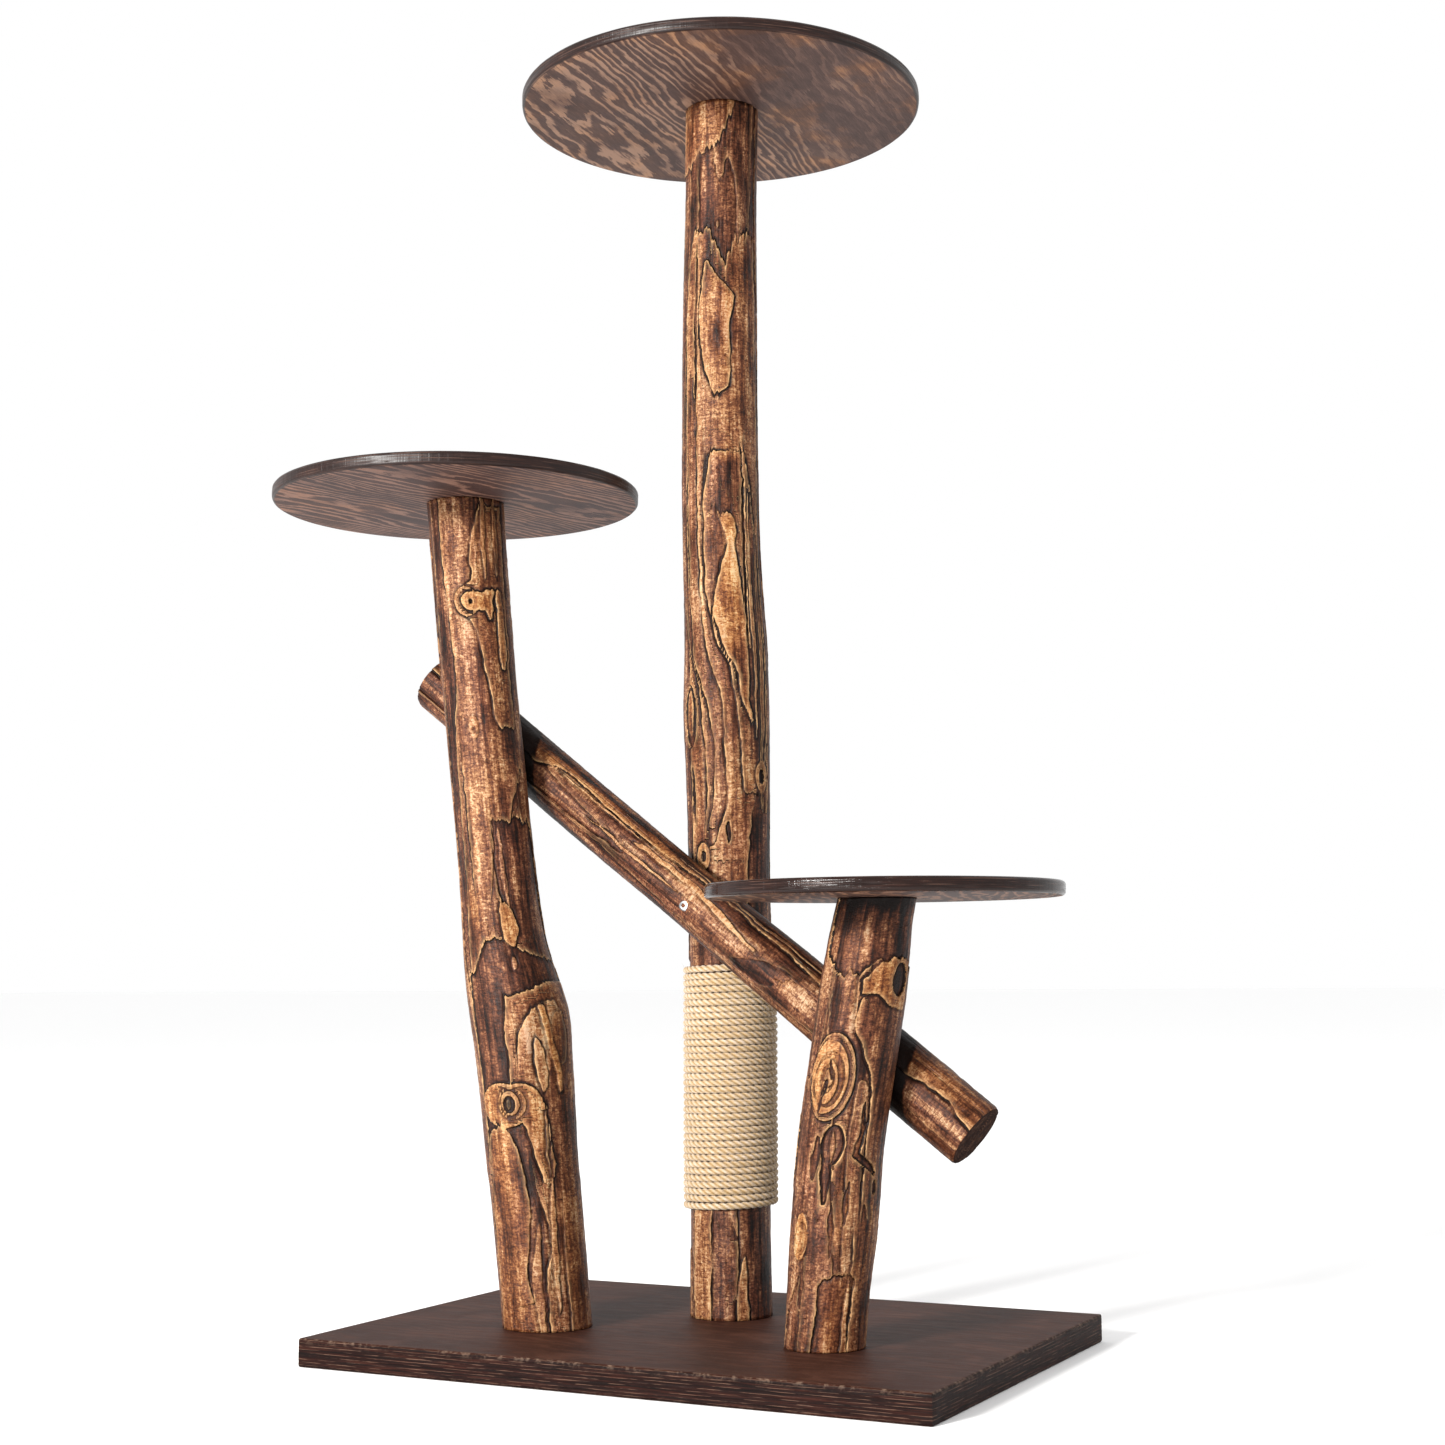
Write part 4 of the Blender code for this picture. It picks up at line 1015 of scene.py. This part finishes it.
def make_right_log(shape):
    log = Layers(shape, 280, 270, 29, 1.2, 170, tone=0.44)
    log.wild(7, 114, 80, np.random.default_rng(8))
    # dark recessed neck with a scalloped lower edge
    log.lay(log.above([
        (-135, 358), (-116, 348), (-106, 341), (-94, 338), (-88, 343), (-74, 338), (-62, 347),
        (-50, 352), (-35, 346), (0, 340), (60, 350),
    ], 0.3), -0.7, 0.28, 0.0)
    # the last spot, a wide dark band at the top just under the low perch, is painted shadow from the
    # perch
    log.tint((-90, 362, 13, 18, 0.2, 0.25), (-70, 366, 3, 20, 0.28, 0.1), (-70, 402, 60, 9, -0.42))
    # long line from the neck to below the knot
    long_line = [(150, -30), (226, -32), (243, -34), (256, -40), (268, -49), (281, -57), (289, -67),
                 (302, -71), (310, -69), (320, -66), (339, -71), (352, -72)]
    log.lay(log.between([(60, -34)] + long_line + [(400, -74)], [(60, 40), (400, 40)], 0.1),
            0.8, 0.36, 0.15, log.fade(160, 318, 26))
    log.lay(np.minimum.reduce([
        log.between([(308, -67), (322, -68), (339, -69), (360, -62)], [(308, 5), (360, 5)], 0.1),
        log.above([(-72, 323), (-48, 323), (-39, 320), (-28, 313), (-1, 309), (8, 309)], 0.1),
        log.below([(-75, 328), (-66, 336), (-55, 344), (-42, 350), (-25, 353), (0, 352), (12, 350)], 0.3),
    ]), 1.2, 0.6, 0.8)
    log.lay(log.oval(-13, 335, 9, 14), -0.9, 0.18, 0.0)
    log.tint((-80, 320, 7, 16, 0.1, 0.2), (-74, 300, 5, 30, 0.2), (-42, 290, 8, 22, -0.06))
    # concentric knot, its dark right-hand collar, and light wood beside it
    log.swell(-96, 252, 18, 32, 1.4)
    log.lay(log.oval(-92, 254, 21, 37), 0.8, 0.42, 0.3)
    log.rings(-96, 252, 18.0, 31, 5, 0.8, 0.34)
    log.tint((-90, 250, 5, 14, -0.16, 0.2), (-103, 262, 4, 10, -0.14))
    for fleck in ((-99, 244, 2.2, 8, 0.25), (-92, 260, 1.5, 9, -0.2), (-103, 230, 1.4, 7, 0.1)):
        log.lay(log.oval(*fleck), -0.4, 0.18, 0.4, weight=0.9)
    log.tint((-64, 222, 6, 22, 0.2))
    log.lay(np.maximum(
        log.oval(-77, 197, 10, 17, 0.05), log.leaf(-83, 146, 200, 5, 1.0),
    ), -1.0, 0.34, 0.0, weight=1.5)
    log.lay(log.leaf(-76, 182, 210, 2, 0.0), 0.4, 0.42, 0.1, weight=0.5)
    log.lay(np.maximum(
        log.between([(172, -15), (180, -34), (188, -50), (200, -46), (216, -36)],
                    [(172, -8), (178, -14), (190, -38), (216, -32)], 0.5),
        log.leaf(-40, 196, 232, 2.2, -1.0),
    ), -0.9, 0.3, 0.4, weight=1.3)
    for slit in ((-100, 168, 205, 5, 2), (-108, 60, 96, 3, 1), (-24, 118, 150, 3, -1),
                 (-52, 128, 168, 2.6, 1), (-70, 104, 150, 2, -1)):
        log.lay(log.leaf(*slit), -0.5, 0.28, 0.2, weight=0.8)
    log.lay(log.oval(-9, 161, 3, 6), -0.8, 0.16, 0.1)
    log.tint((-60, 150, 10, 40, 0.1, 0.45))
    # stub on the left edge
    log.rings(-116, 119, 9.0, 20, 4, 0.85, 0.5)
    log.lay(log.between([(0, -36), (102, -37), (119, -39), (160, -35)],
                        [(0, 30), (160, 20)], 0.2), 0.5, 0.4, 0.3, log.fade(0, 115, 40))
    # arched plate at the foot
    log.lay(np.minimum(
        log.between([(20, -86), (41, -84), (61, -81), (95, -78)], [(20, -33), (95, -28)], 0.0),
        log.below([(-86, 74), (-76, 84), (-68, 85), (-59, 90), (-38, 90), (-20, 84)], 0.4),
    ), -0.8, 0.36, 0.25)
    log.tint((-60, 45, 6, 30, 0.12, 0.3))
    log.lay(log.leaf(-38, -40, 86, 3.0), 0.4, 0.54, 0.5, weight=0.7)
    return build_log("right_log", shape, log, log_material("right_log_finish", 0.02))


def make_brace(shape, posts):
    """Angles here: 0 on top, 90 on the front, 180 underneath."""
    log = Layers(shape, 260, 360, 41, 1.2, 420, tone=0.42)
    log.wild(7, -95, 75, np.random.default_rng(12))
    # one ridge along the upper front, smoother wood above it
    ridge = [(-60, 56), (60, 60), (156, 64), (167, 53), (178, 43), (205, 40), (263, 46), (315, 43),
             (363, 34), (413, 35), (460, 37), (500, 43), (560, 50), (632, 69), (650, 61), (677, 56),
             (690, 66), (706, 72), (780, 80)]
    log.lay(log.between([(-60, -40), (200, -28), (450, -44), (780, -36)], ridge, 0.0),
            1.0, 0.4, 0.45, weight=1.4)
    # the first spot, a long darker strip along the top of the brace, is painted shade
    log.tint((10, 300, 12, 400, -0.14), (40, 250, 6, 100, 0.16, 0.6))
    log.lay(log.between(
        [(291, 57), (320, 52), (371, 48), (431, 66), (453, 72)],
        [(291, 66), (320, 62), (371, 60), (410, 72), (453, 76)], 1.2,
    ), 0.7, 0.54, 0.4, weight=0.6)
    log.tint((66, 400, 9, 60, 0.18, 0.3))
    for sliver in ((84, 235, 360, 1.6), (50, 180, 300, 1.2), (24, 330, 560, 1.4)):
        log.lay(log.leaf(*sliver), 0.6, 0.56, 0.3, weight=0.9)
    log.tint((84, 300, 14, 70, 0.08))
    # smooth hollow, rough pale wood beyond it, and a lower side darkened as painted shade
    log.lay(log.between(
        [(433, 116), (448, 95), (466, 78), (487, 66), (497, 68)],
        [(433, 120), (449, 130), (473, 119), (491, 94), (497, 72)], 2.4,
    ), -0.7, 0.3, 0.0, weight=0.22)
    log.tint(
        (96, 462, 13, 26, -0.12), (84, 492, 8, 12, 0.16, 0.3), (76, 520, 13, 22, 0.24),
        (90, 410, 10, 40, 0.12),
    )
    # painted shade: the whole lower side gets a darker tone
    log.lay(log.between([(-60, 118), (258, 112), (400, 134), (520, 130), (647, 114), (780, 117)],
                        [(-60, 215), (780, 215)], 0.0), -0.3, 0.34, 0.1, weight=0.5)
    log.tint((92, 672, 9, 26, 0.2), (74, 660, 5, 30, -0.18))
    # painted shadow of the posts that stand in front, darkening the brace beside each joint
    turn = log.turned(0)
    front = np.clip((turn + 10) / 20.0, 0, 1) * np.clip((175 - turn) / 20.0, 0, 1)
    for low, high, foot, head in ((100, 176, 8, 124), (590, 650, 4, 130)):
        slope = (high - low) / (head - foot) * 0.55
        place = high - slope * (head - turn)
        post_shadow = np.clip((place - log.z) / 5.0, 0, 1) * np.clip((log.z - place + 52) / 20.0, 0, 1)
        # painted shadow: the tone is darkened and the layer edges fade out here
        log.tone = log.tone - 1.2 * post_shadow * front
        log.weight = log.weight * (1 - post_shadow * front)
    return build_log(
        "brace_timber", shape, log, log_material("brace_finish", 0.0),
        sawn=end_grain_material(), beds=posts,
    )


# ---- rope ---------------------------------------------------------------
ROPE_TURNS = 36
ROPE_RADIUS = 3.38
ROPE_LAY = 21.0             # length in which a strand goes once round
ROPE_PATH = 41.5            # rough radius of a turn
ROPE_STEP = 2.05            # between rings of the mesh
STRAND_SHARE = 0.61         # strand radius over rope radius
VALLEY = 0.66               # radius where `crown` is 0, over rope radius
END_SPREAD = 1.6            # extra room beside each end turn
UPWARD = np.array([0.0, 0.0, 1.0])


def rope_section():
    """Outline of three strands side by side: (angle, radius)."""
    strand = ROPE_RADIUS * STRAND_SHARE
    centre = ROPE_RADIUS - strand
    outline = []
    for third in range(3):
        for psi in (-60, -44, -22, 0, 22, 44):
            turn = math.radians(psi)
            inner = strand**2 - (centre * math.sin(turn)) ** 2
            radius = centre * math.cos(turn) + math.sqrt(inner)
            outline.append((math.radians(third * 120 + psi), radius))
    return np.array(outline).T


def rope_path(post, turns):
    """Centre line and its outward direction at a number of turns."""
    low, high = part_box("sisal_rope")
    start = low.z / MM + ROPE_RADIUS + END_SPREAD
    pitch = (high.z / MM - ROPE_RADIUS - END_SPREAD - start) / ROPE_TURNS

    def ease(t):
        t = np.clip(t, 0.0, 1.0)
        return t * t * (3 - 2 * t)

    height = start + pitch * turns
    height = height - END_SPREAD * (1 - ease(turns)) + END_SPREAD * ease(turns - ROPE_TURNS + 1)
    wander = 0.22 * noise(turns * 2.7, turns * 0.0, turns * 0.31, 91)
    angle = math.radians(90) + 2 * math.pi * turns
    outward = np.stack([np.cos(angle), np.sin(angle), np.zeros_like(angle)], -1)
    radius = post.radius(height) + ROPE_RADIUS + ROPE_SEAT + 0.25 * noise(turns * 4.1, 0, 0, 92)
    centre = post.centre(height) + outward * radius[:, None]
    centre[:, 2] += wander
    return centre, outward


def make_rope(post):
    angles, radii = rope_section()
    sides = len(angles)
    length = ROPE_TURNS * 2 * math.pi * ROPE_PATH
    rings = int(length / ROPE_STEP)
    turns = np.linspace(0.0, ROPE_TURNS, rings)
    centre, outward = rope_path(post, turns)
    run = np.linspace(0.0, length, rings)
    twist = 2 * math.pi * run / ROPE_LAY
    phase = angles - twist[:, None]
    slack = 1.0 + 0.035 * noise(run / 7.0, run * 0, run * 0, 93)
    fuzz = noise(run[:, None] / 1.3, phase * 2.0, angles[None, :] * 3, 94)
    reach = radii * slack[:, None] + 0.07 * fuzz
    points = (
        centre[:, None, :]
        + (reach * np.cos(phase))[..., None] * outward[:, None, :]
        + (reach * np.sin(phase))[..., None] * UPWARD
    )
    ends = (tuple(range(sides)), tuple(range((rings - 1) * sides, rings * sides))[::-1])
    quads = grid_faces(sides, rings, flip=True)
    mesh = mesh_from_arrays("sisal_winding", points.reshape(-1, 3), quads, ends)
    crown = np.clip((radii / ROPE_RADIUS - VALLEY) / (1 - VALLEY), 0, 1)
    add_float(mesh, "crown", np.tile(crown, rings))
    fibre = np.stack([
        ROPE_RADIUS * np.cos(phase), ROPE_RADIUS * np.sin(phase),
        np.broadcast_to(run[:, None], phase.shape),
    ], -1)
    add_vector(mesh, "fibre", fibre.reshape(-1, 3))
    mesh.materials.append(sisal_material())
    return new_piece("sisal_winding", mesh, ("sisal_rope",))


def make_rope_fuzz(post, material):
    """Loose fibre ends that stand off the rope."""
    rng = np.random.default_rng(44)
    count = 900
    turns = rng.uniform(0.1, ROPE_TURNS - 0.1, count)
    centre, outward = rope_path(post, turns)
    forward = np.cross(UPWARD, outward)
    vertices, faces = [], []
    for i in range(count):
        tilt = rng.uniform(-1.1, 1.1)
        normal = outward[i] * math.cos(tilt) + UPWARD * math.sin(tilt)
        heading = forward[i] * rng.choice((-1, 1)) + 0.5 * rng.normal() * UPWARD
        root = centre[i] + normal * (ROPE_RADIUS - 0.5)
        length = rng.uniform(2.0, 6.5)
        lift = rng.uniform(0.2, 0.65)
        width = rng.uniform(0.045, 0.085)
        side = np.cross(heading, normal)
        side /= np.linalg.norm(side)
        start = len(vertices)
        for t, share in ((0.0, 1.0), (0.35, 0.9), (0.7, 0.6), (1.0, 0.15)):
            spine = root + heading * length * t + normal * (0.5 + lift * length * t * t)
            for turn in (0.0, 2 * math.pi / 3, 4 * math.pi / 3):
                rim = side * math.cos(turn) + normal * math.sin(turn)
                vertices.append(spine + width * share * rim)
        faces.extend((start + grid_faces(3, 4)).tolist())
        faces.append((start + 2, start + 1, start))
        faces.append((start + 9, start + 10, start + 11))
    mesh = mesh_from_arrays("sisal_fuzz", np.array(vertices), faces)
    add_float(mesh, "crown", np.full(len(vertices), 0.95))
    add_vector(mesh, "fibre", np.array(vertices))
    mesh.materials.append(material)
    return new_piece("sisal_fuzz", mesh)


# ---- boards -------------------------------------------------------------
SHARP = math.radians(40)
THROUGH = 2.0               # how far a hole's cutter stands out of the board
# (radius, depth) down a hole, whose last radius then goes through the board
BOLT_SEAT = ((9.2, -2), (9.2, 3.8), (4.4, 3.8))
BASE_SEAT = ((9.2, -2), (9.2, 4.5), (4.4, 4.5))
SCREW_SEAT = ((4.8, -2), (4.8, 0.2), (2.5, 3.4))


def cut_hole(piece, profile, bolt, face, far_face, steps=48):
    """Take a turned shape out of a board, from one face towards the other."""
    downward = far_face < face
    low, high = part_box(bolt)
    x, y = (low.x + high.x) / 2 / MM, (low.y + high.y) / 2 / MM
    sign = -1.0 if downward else 1.0
    angles = 2 * np.pi * np.arange(steps) / steps
    rings = [
        np.stack([
            x + radius * np.cos(angles), y + radius * np.sin(angles),
            np.full(steps, face + sign * depth),
        ], -1)
        for radius, depth in (*profile, (profile[-1][0], abs(far_face - face) + THROUGH))
    ]
    first = tuple(range(steps))
    last = tuple(range((len(rings) - 1) * steps, len(rings) * steps))
    ends = (first, last[::-1]) if downward else (first[::-1], last)
    quads = grid_faces(steps, len(rings), flip=downward)
    mesh = mesh_from_arrays("hole", np.concatenate(rings), quads, ends)
    cutter = bpy.data.objects.new("hole", mesh)
    bpy.context.scene.collection.objects.link(cutter)
    modifier = piece.modifiers.new("hole", "BOOLEAN")
    modifier.solver = "EXACT"
    modifier.object = cutter
    bpy.context.view_layer.objects.active = piece
    for other in bpy.context.selected_objects:
        other.select_set(False)
    piece.select_set(True)
    bpy.ops.object.modifier_apply(modifier="hole")
    bpy.data.objects.remove(cutter, do_unlink=True)
    bpy.data.meshes.remove(mesh)


def quarter_round(size, degrees):
    """(outward, upward) steps round a lower edge, from the face to the side."""
    return [(size * math.sin(a), size * (1 - math.cos(a))) for a in np.radians(degrees)]


def turned_flat(flat, degrees):
    """Points across and along a grain direction `degrees` from +Y."""
    c, s = math.cos(math.radians(degrees)), math.sin(math.radians(degrees))
    return np.stack([
        flat[:, 0] * c - flat[:, 1] * s, flat[:, 0] * s + flat[:, 1] * c, 0 * flat[:, 0],
    ], -1)



def make_perch(level, tilt, veneer, seed):
    """Round plywood perch: flat faces, a rounded rim with faint ply lines.
    Its grain runs front to back, turned by `tilt` degrees."""
    node = f"{level}_plate"
    name = f"{level}_perch"
    low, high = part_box(node)
    centre = np.array([(low.x + high.x) / 2, (low.y + high.y) / 2]) / MM
    radius = (high.x - low.x) / 2 / MM
    bottom, top = low.z / MM, high.z / MM
    thick = top - bottom
    round_over = 3.2
    sides = 320
    flat = radius - round_over
    degrees = np.linspace(0, 90, 6)[1:]
    lower = [(flat * share, 0.0, 0.0) for share in np.linspace(0.0, 1.0, 22)[1:]]
    for turn, (out, up) in zip(degrees, quarter_round(round_over, degrees)):
        lower.append((flat + out, up, min(1.0, 0.5 + turn / 60)))
    side = [(radius, height, 1.0) for height in np.linspace(round_over, thick - round_over, 14)[1:-1]]
    upper = [(out, thick - height, rim) for out, height, rim in lower[::-1]]
    outline = np.array(lower + side + upper)        # radius, height, rim
    angles = 2 * np.pi * np.arange(sides) / sides
    x, y = np.cos(angles)[None, :], np.sin(angles)[None, :]
    height = outline[:, 1][:, None] + 0 * x
    rim = outline[:, 2][:, None]
    ripple = 0.18 * noise(x * 9, y * 9, height / 3, seed)
    plies = np.exp(-(((height / thick * 5) % 1.0 - 0.5) / 0.09) ** 2)
    broken = np.clip(noise(x * 14, y * 14, height / 2, seed + 1) * 2, 0, 1)
    reach = outline[:, 0][:, None] + rim * (ripple - 0.18 - 0.22 * plies * broken)
    points = np.stack([centre[0] + reach * x, centre[1] + reach * y, bottom + height], -1)
    points = points.reshape(-1, 3)
    rows = len(outline)
    ends = (tuple(range(sides))[::-1], tuple(range((rows - 1) * sides, rows * sides)))
    mesh = mesh_from_arrays(name, points, grid_faces(sides, rows), ends)
    add_float(mesh, "rim", np.broadcast_to(rim, reach.shape))
    add_float(mesh, "layer", height)
    add_vector(mesh, "veneer", turned_flat(points[:, :2] - centre, tilt))
    mesh.materials.append(perch_material(f"{name}_finish", *veneer, seed))
    piece = new_piece(name, mesh, (node,))
    mesh.set_sharp_from_angle(angle=SHARP)
    cut_hole(piece, BOLT_SEAT, f"{node}_bolt", top, bottom)
    for label in ("a", "b"):
        cut_hole(piece, SCREW_SEAT, f"{node}_screw_{label}", top, bottom)


def make_base():
    """Base slab with small rounded edges, raised ply lines and worn arrises."""
    low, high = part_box("base_board")
    x0, y0, z0 = (v / MM for v in low)
    x1, y1, z1 = (v / MM for v in high)
    edge = 2.2
    pitch = 4.0
    xs = np.linspace(x0 + edge, x1 - edge, int((x1 - x0) / pitch))
    ys = np.linspace(y0 + edge, y1 - edge, int((y1 - y0) / pitch))
    gx, gy = np.meshgrid(xs, ys)
    flat = np.stack([gx, gy], -1).reshape(-1, 2)
    index = np.arange(len(flat)).reshape(gx.shape)
    # the flat faces' outline, anticlockwise, one point per grid line
    boundary = np.concatenate([
        index[0, :-1], index[:-1, -1], index[-1, :0:-1], index[:0:-1, 0],
    ])
    path = flat[boundary]
    outward = (path == (xs[-1], ys[-1])) * 1.0 - (path == (xs[0], ys[0]))
    outward /= np.linalg.norm(outward, axis=1)[:, None]
    around = len(path)
    thick = z1 - z0
    lower = quarter_round(edge, (22, 45, 68, 90))
    rows = lower + [(edge, h) for h in np.linspace(edge, thick - edge, 30)[1:-1]]
    rows += [(out, thick - height) for out, height in lower[::-1]]
    px, py = path[:, 0], path[:, 1]
    side_points, side_info = [], []
    for out, height in rows:
        streak = noise(px / 60, py / 60, np.full(around, height / 1.6), 61)
        streak = streak + 0.5 * noise(px / 18, py / 18, np.full(around, height / 0.9), 62)
        level = min(1.0, out / edge)
        chips = np.clip(noise(px / 9, py / 9, np.full(around, height / 4), 63) - 0.25, 0, 1)
        near_edge = math.exp(-min(height, thick - height) / 1.6)
        push = level * (0.16 * streak - 0.2) - 0.9 * chips * near_edge
        ring = np.stack([px, py, np.full(around, z0 + height)], -1)
        ring[:, :2] += outward * (out + push)[:, None]
        side_points.append(ring)
        wear = near_edge if height > thick / 2 else 0.25 * near_edge
        side_info.append((min(1.0, max(0.0, (out / edge - 0.25) * 1.6)), height, wear))
    side = np.concatenate(side_points)
    relief = 0.1 * noise(flat[:, 0] / 40, flat[:, 1] / 6, flat[:, 0] * 0, 64)
    inner = np.ones(len(flat))
    inner[boundary] = 0.0
    top = np.column_stack([flat, z1 - 0.12 * inner + relief * inner])
    under = np.column_stack([flat, np.full(len(flat), z0)])
    top_start = len(side)
    under_start = top_start + len(top)
    cells = np.stack([index[:-1, :-1], index[:-1, 1:], index[1:, 1:], index[1:, :-1]], -1)
    cells = cells.reshape(-1, 4)
    quads = [grid_faces(around, len(rows)), cells + top_start, cells[:, ::-1] + under_start]
    j = np.roll(np.arange(around), -1)
    i = np.arange(around)
    last = (len(rows) - 1) * around
    quads.append(np.stack([last + i, last + j, boundary[j] + top_start, boundary[i] + top_start], -1))
    quads.append(np.stack([boundary[i] + under_start, boundary[j] + under_start, j, i], -1))
    points = np.concatenate([side, top, under])
    mesh = mesh_from_arrays("base_slab", points, np.concatenate(quads))
    per_row = np.repeat(np.array(side_info), around, axis=0)
    blank = np.zeros(len(top))
    add_float(mesh, "side", np.concatenate([per_row[:, 0], blank, blank]))
    add_float(mesh, "layer", np.concatenate([per_row[:, 1], blank + thick, blank]))
    rim = np.zeros(len(top))
    rim[boundary] = 0.25
    add_float(mesh, "worn", np.concatenate([per_row[:, 2], rim, rim * 0.2]))
    add_vector(mesh, "veneer", turned_flat(points[:, :2], 90.0))
    mesh.materials.append(base_material())
    piece = new_piece("base_slab", mesh, ("base_board",))
    mesh.set_sharp_from_angle(angle=SHARP)
    for label in ("main", "left", "right"):
        cut_hole(piece, BASE_SEAT, f"base_{label}_bolt", z0, z1)


# ---- hardware -----------------------------------------------------------
def finish_hardware():
    zinc = metal_material("zinc_plate", linear(214, 217, 220), 0.22)
    alloy = metal_material("insert_metal", linear(186, 182, 174), 0.35)
    for name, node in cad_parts.items():
        metal = alloy if name.endswith("_insert") else zinc
        if any(word in name for word in ("insert", "bolt", "screw", "staple")):
            node.data.materials.clear()
            node.data.materials.append(metal)


# ---- stage, light and camera --------------------------------------------
CAMERA_PLACE = (938.9, -1784.6, 345.0)      # mm
CAMERA_YAW = -27.3                          # degrees from +Y towards +X
CAMERA_PITCH = 6.45
CAMERA_ROLL = -0.47
CAMERA_LENS = 54.3
KEY_PLACE = (-0.9, -4.2, 1.5)               # m
KEY_TARGET = (0.0, 0.0, 0.6)


def make_camera():
    yaw, pitch, roll = (math.radians(v) for v in (CAMERA_YAW, CAMERA_PITCH, CAMERA_ROLL))
    ahead = Vector((
        math.sin(yaw) * math.cos(pitch), math.cos(yaw) * math.cos(pitch), math.sin(pitch),
    ))
    right = Vector((math.cos(yaw), -math.sin(yaw), 0.0))
    up = right.cross(ahead)
    turned_right = right * math.cos(roll) + up * math.sin(roll)
    turned_up = up * math.cos(roll) - right * math.sin(roll)
    data = bpy.data.cameras.new("camera")
    data.lens = CAMERA_LENS
    data.sensor_width = 36.0
    data.clip_end = 100.0
    camera = bpy.data.objects.new("camera", data)
    bpy.context.scene.collection.objects.link(camera)
    basis = Matrix((turned_right, turned_up, -ahead)).transposed().to_4x4()
    camera.matrix_world = Matrix.Translation(Vector(CAMERA_PLACE) * MM) @ basis
    bpy.context.scene.camera = camera


def make_floor():
    mesh = bpy.data.meshes.new("floor")
    reach = 30.0
    corners = [(-reach, -reach, 0), (reach, -reach, 0), (reach, reach, 0), (-reach, reach, 0)]
    mesh.from_pydata(corners, [], [(0, 1, 2, 3)])
    s = Shader("floor_finish")
    mesh.materials.append(s.finish(linear(252, 252, 252), 0.8, Specular_IOR_Level=0.1))
    floor = bpy.data.objects.new("floor", mesh)
    bpy.context.scene.collection.objects.link(floor)



def make_light():
    scene = bpy.context.scene
    world = bpy.data.worlds.new("studio")
    scene.world = world
    world.use_nodes = True
    background = world.node_tree.nodes["Background"]
    background.inputs["Color"].default_value = (1.0, 1.0, 1.0, 1.0)
    background.inputs["Strength"].default_value = 1.0
    data = bpy.data.lights.new("key", "AREA")
    data.shape = "DISK"
    data.size = 0.8
    data.energy = 420.0
    data.color = (1.0, 0.985, 0.96)
    lamp = bpy.data.objects.new("key", data)
    scene.collection.objects.link(lamp)
    lamp.location = KEY_PLACE
    aim = Vector(KEY_TARGET) - Vector(KEY_PLACE)
    lamp.rotation_euler = aim.to_track_quat("-Z", "Y").to_euler()
    scene.view_settings.view_transform = "Standard"


# ---- assembly -----------------------------------------------------------
make_camera()
make_floor()
make_light()

main_shape = standing_log("main_post")
left_shape = standing_log("left_post")
right_shape = standing_log("right_post")
brace_shape = lying_log("brace_log")
make_main_log(main_shape)
make_left_log(left_shape)
make_right_log(right_shape)
make_brace(brace_shape, (main_shape, left_shape, right_shape))

rope = make_rope(main_shape)
make_rope_fuzz(main_shape, rope.data.materials[0])

# each colour tuple is the stain's hue with painted shade, darker for the middle and low perches
make_perch("top", -5.0, (95.0, 225.0, 19.0, (1.0, 0.92, 0.92), (0.0, 70.0), 0.30), 2)
make_perch("middle", 14.0, (70.0, 150.0, 13.0, (0.70, 0.58, 0.62), (400.0, 500.0), 0.32), 7)
make_perch("low", -20.0, (20.0, 170.0, 12.0, (0.64, 0.53, 0.52), (400.0, 500.0), 0.13), 9)
make_base()
finish_hardware()
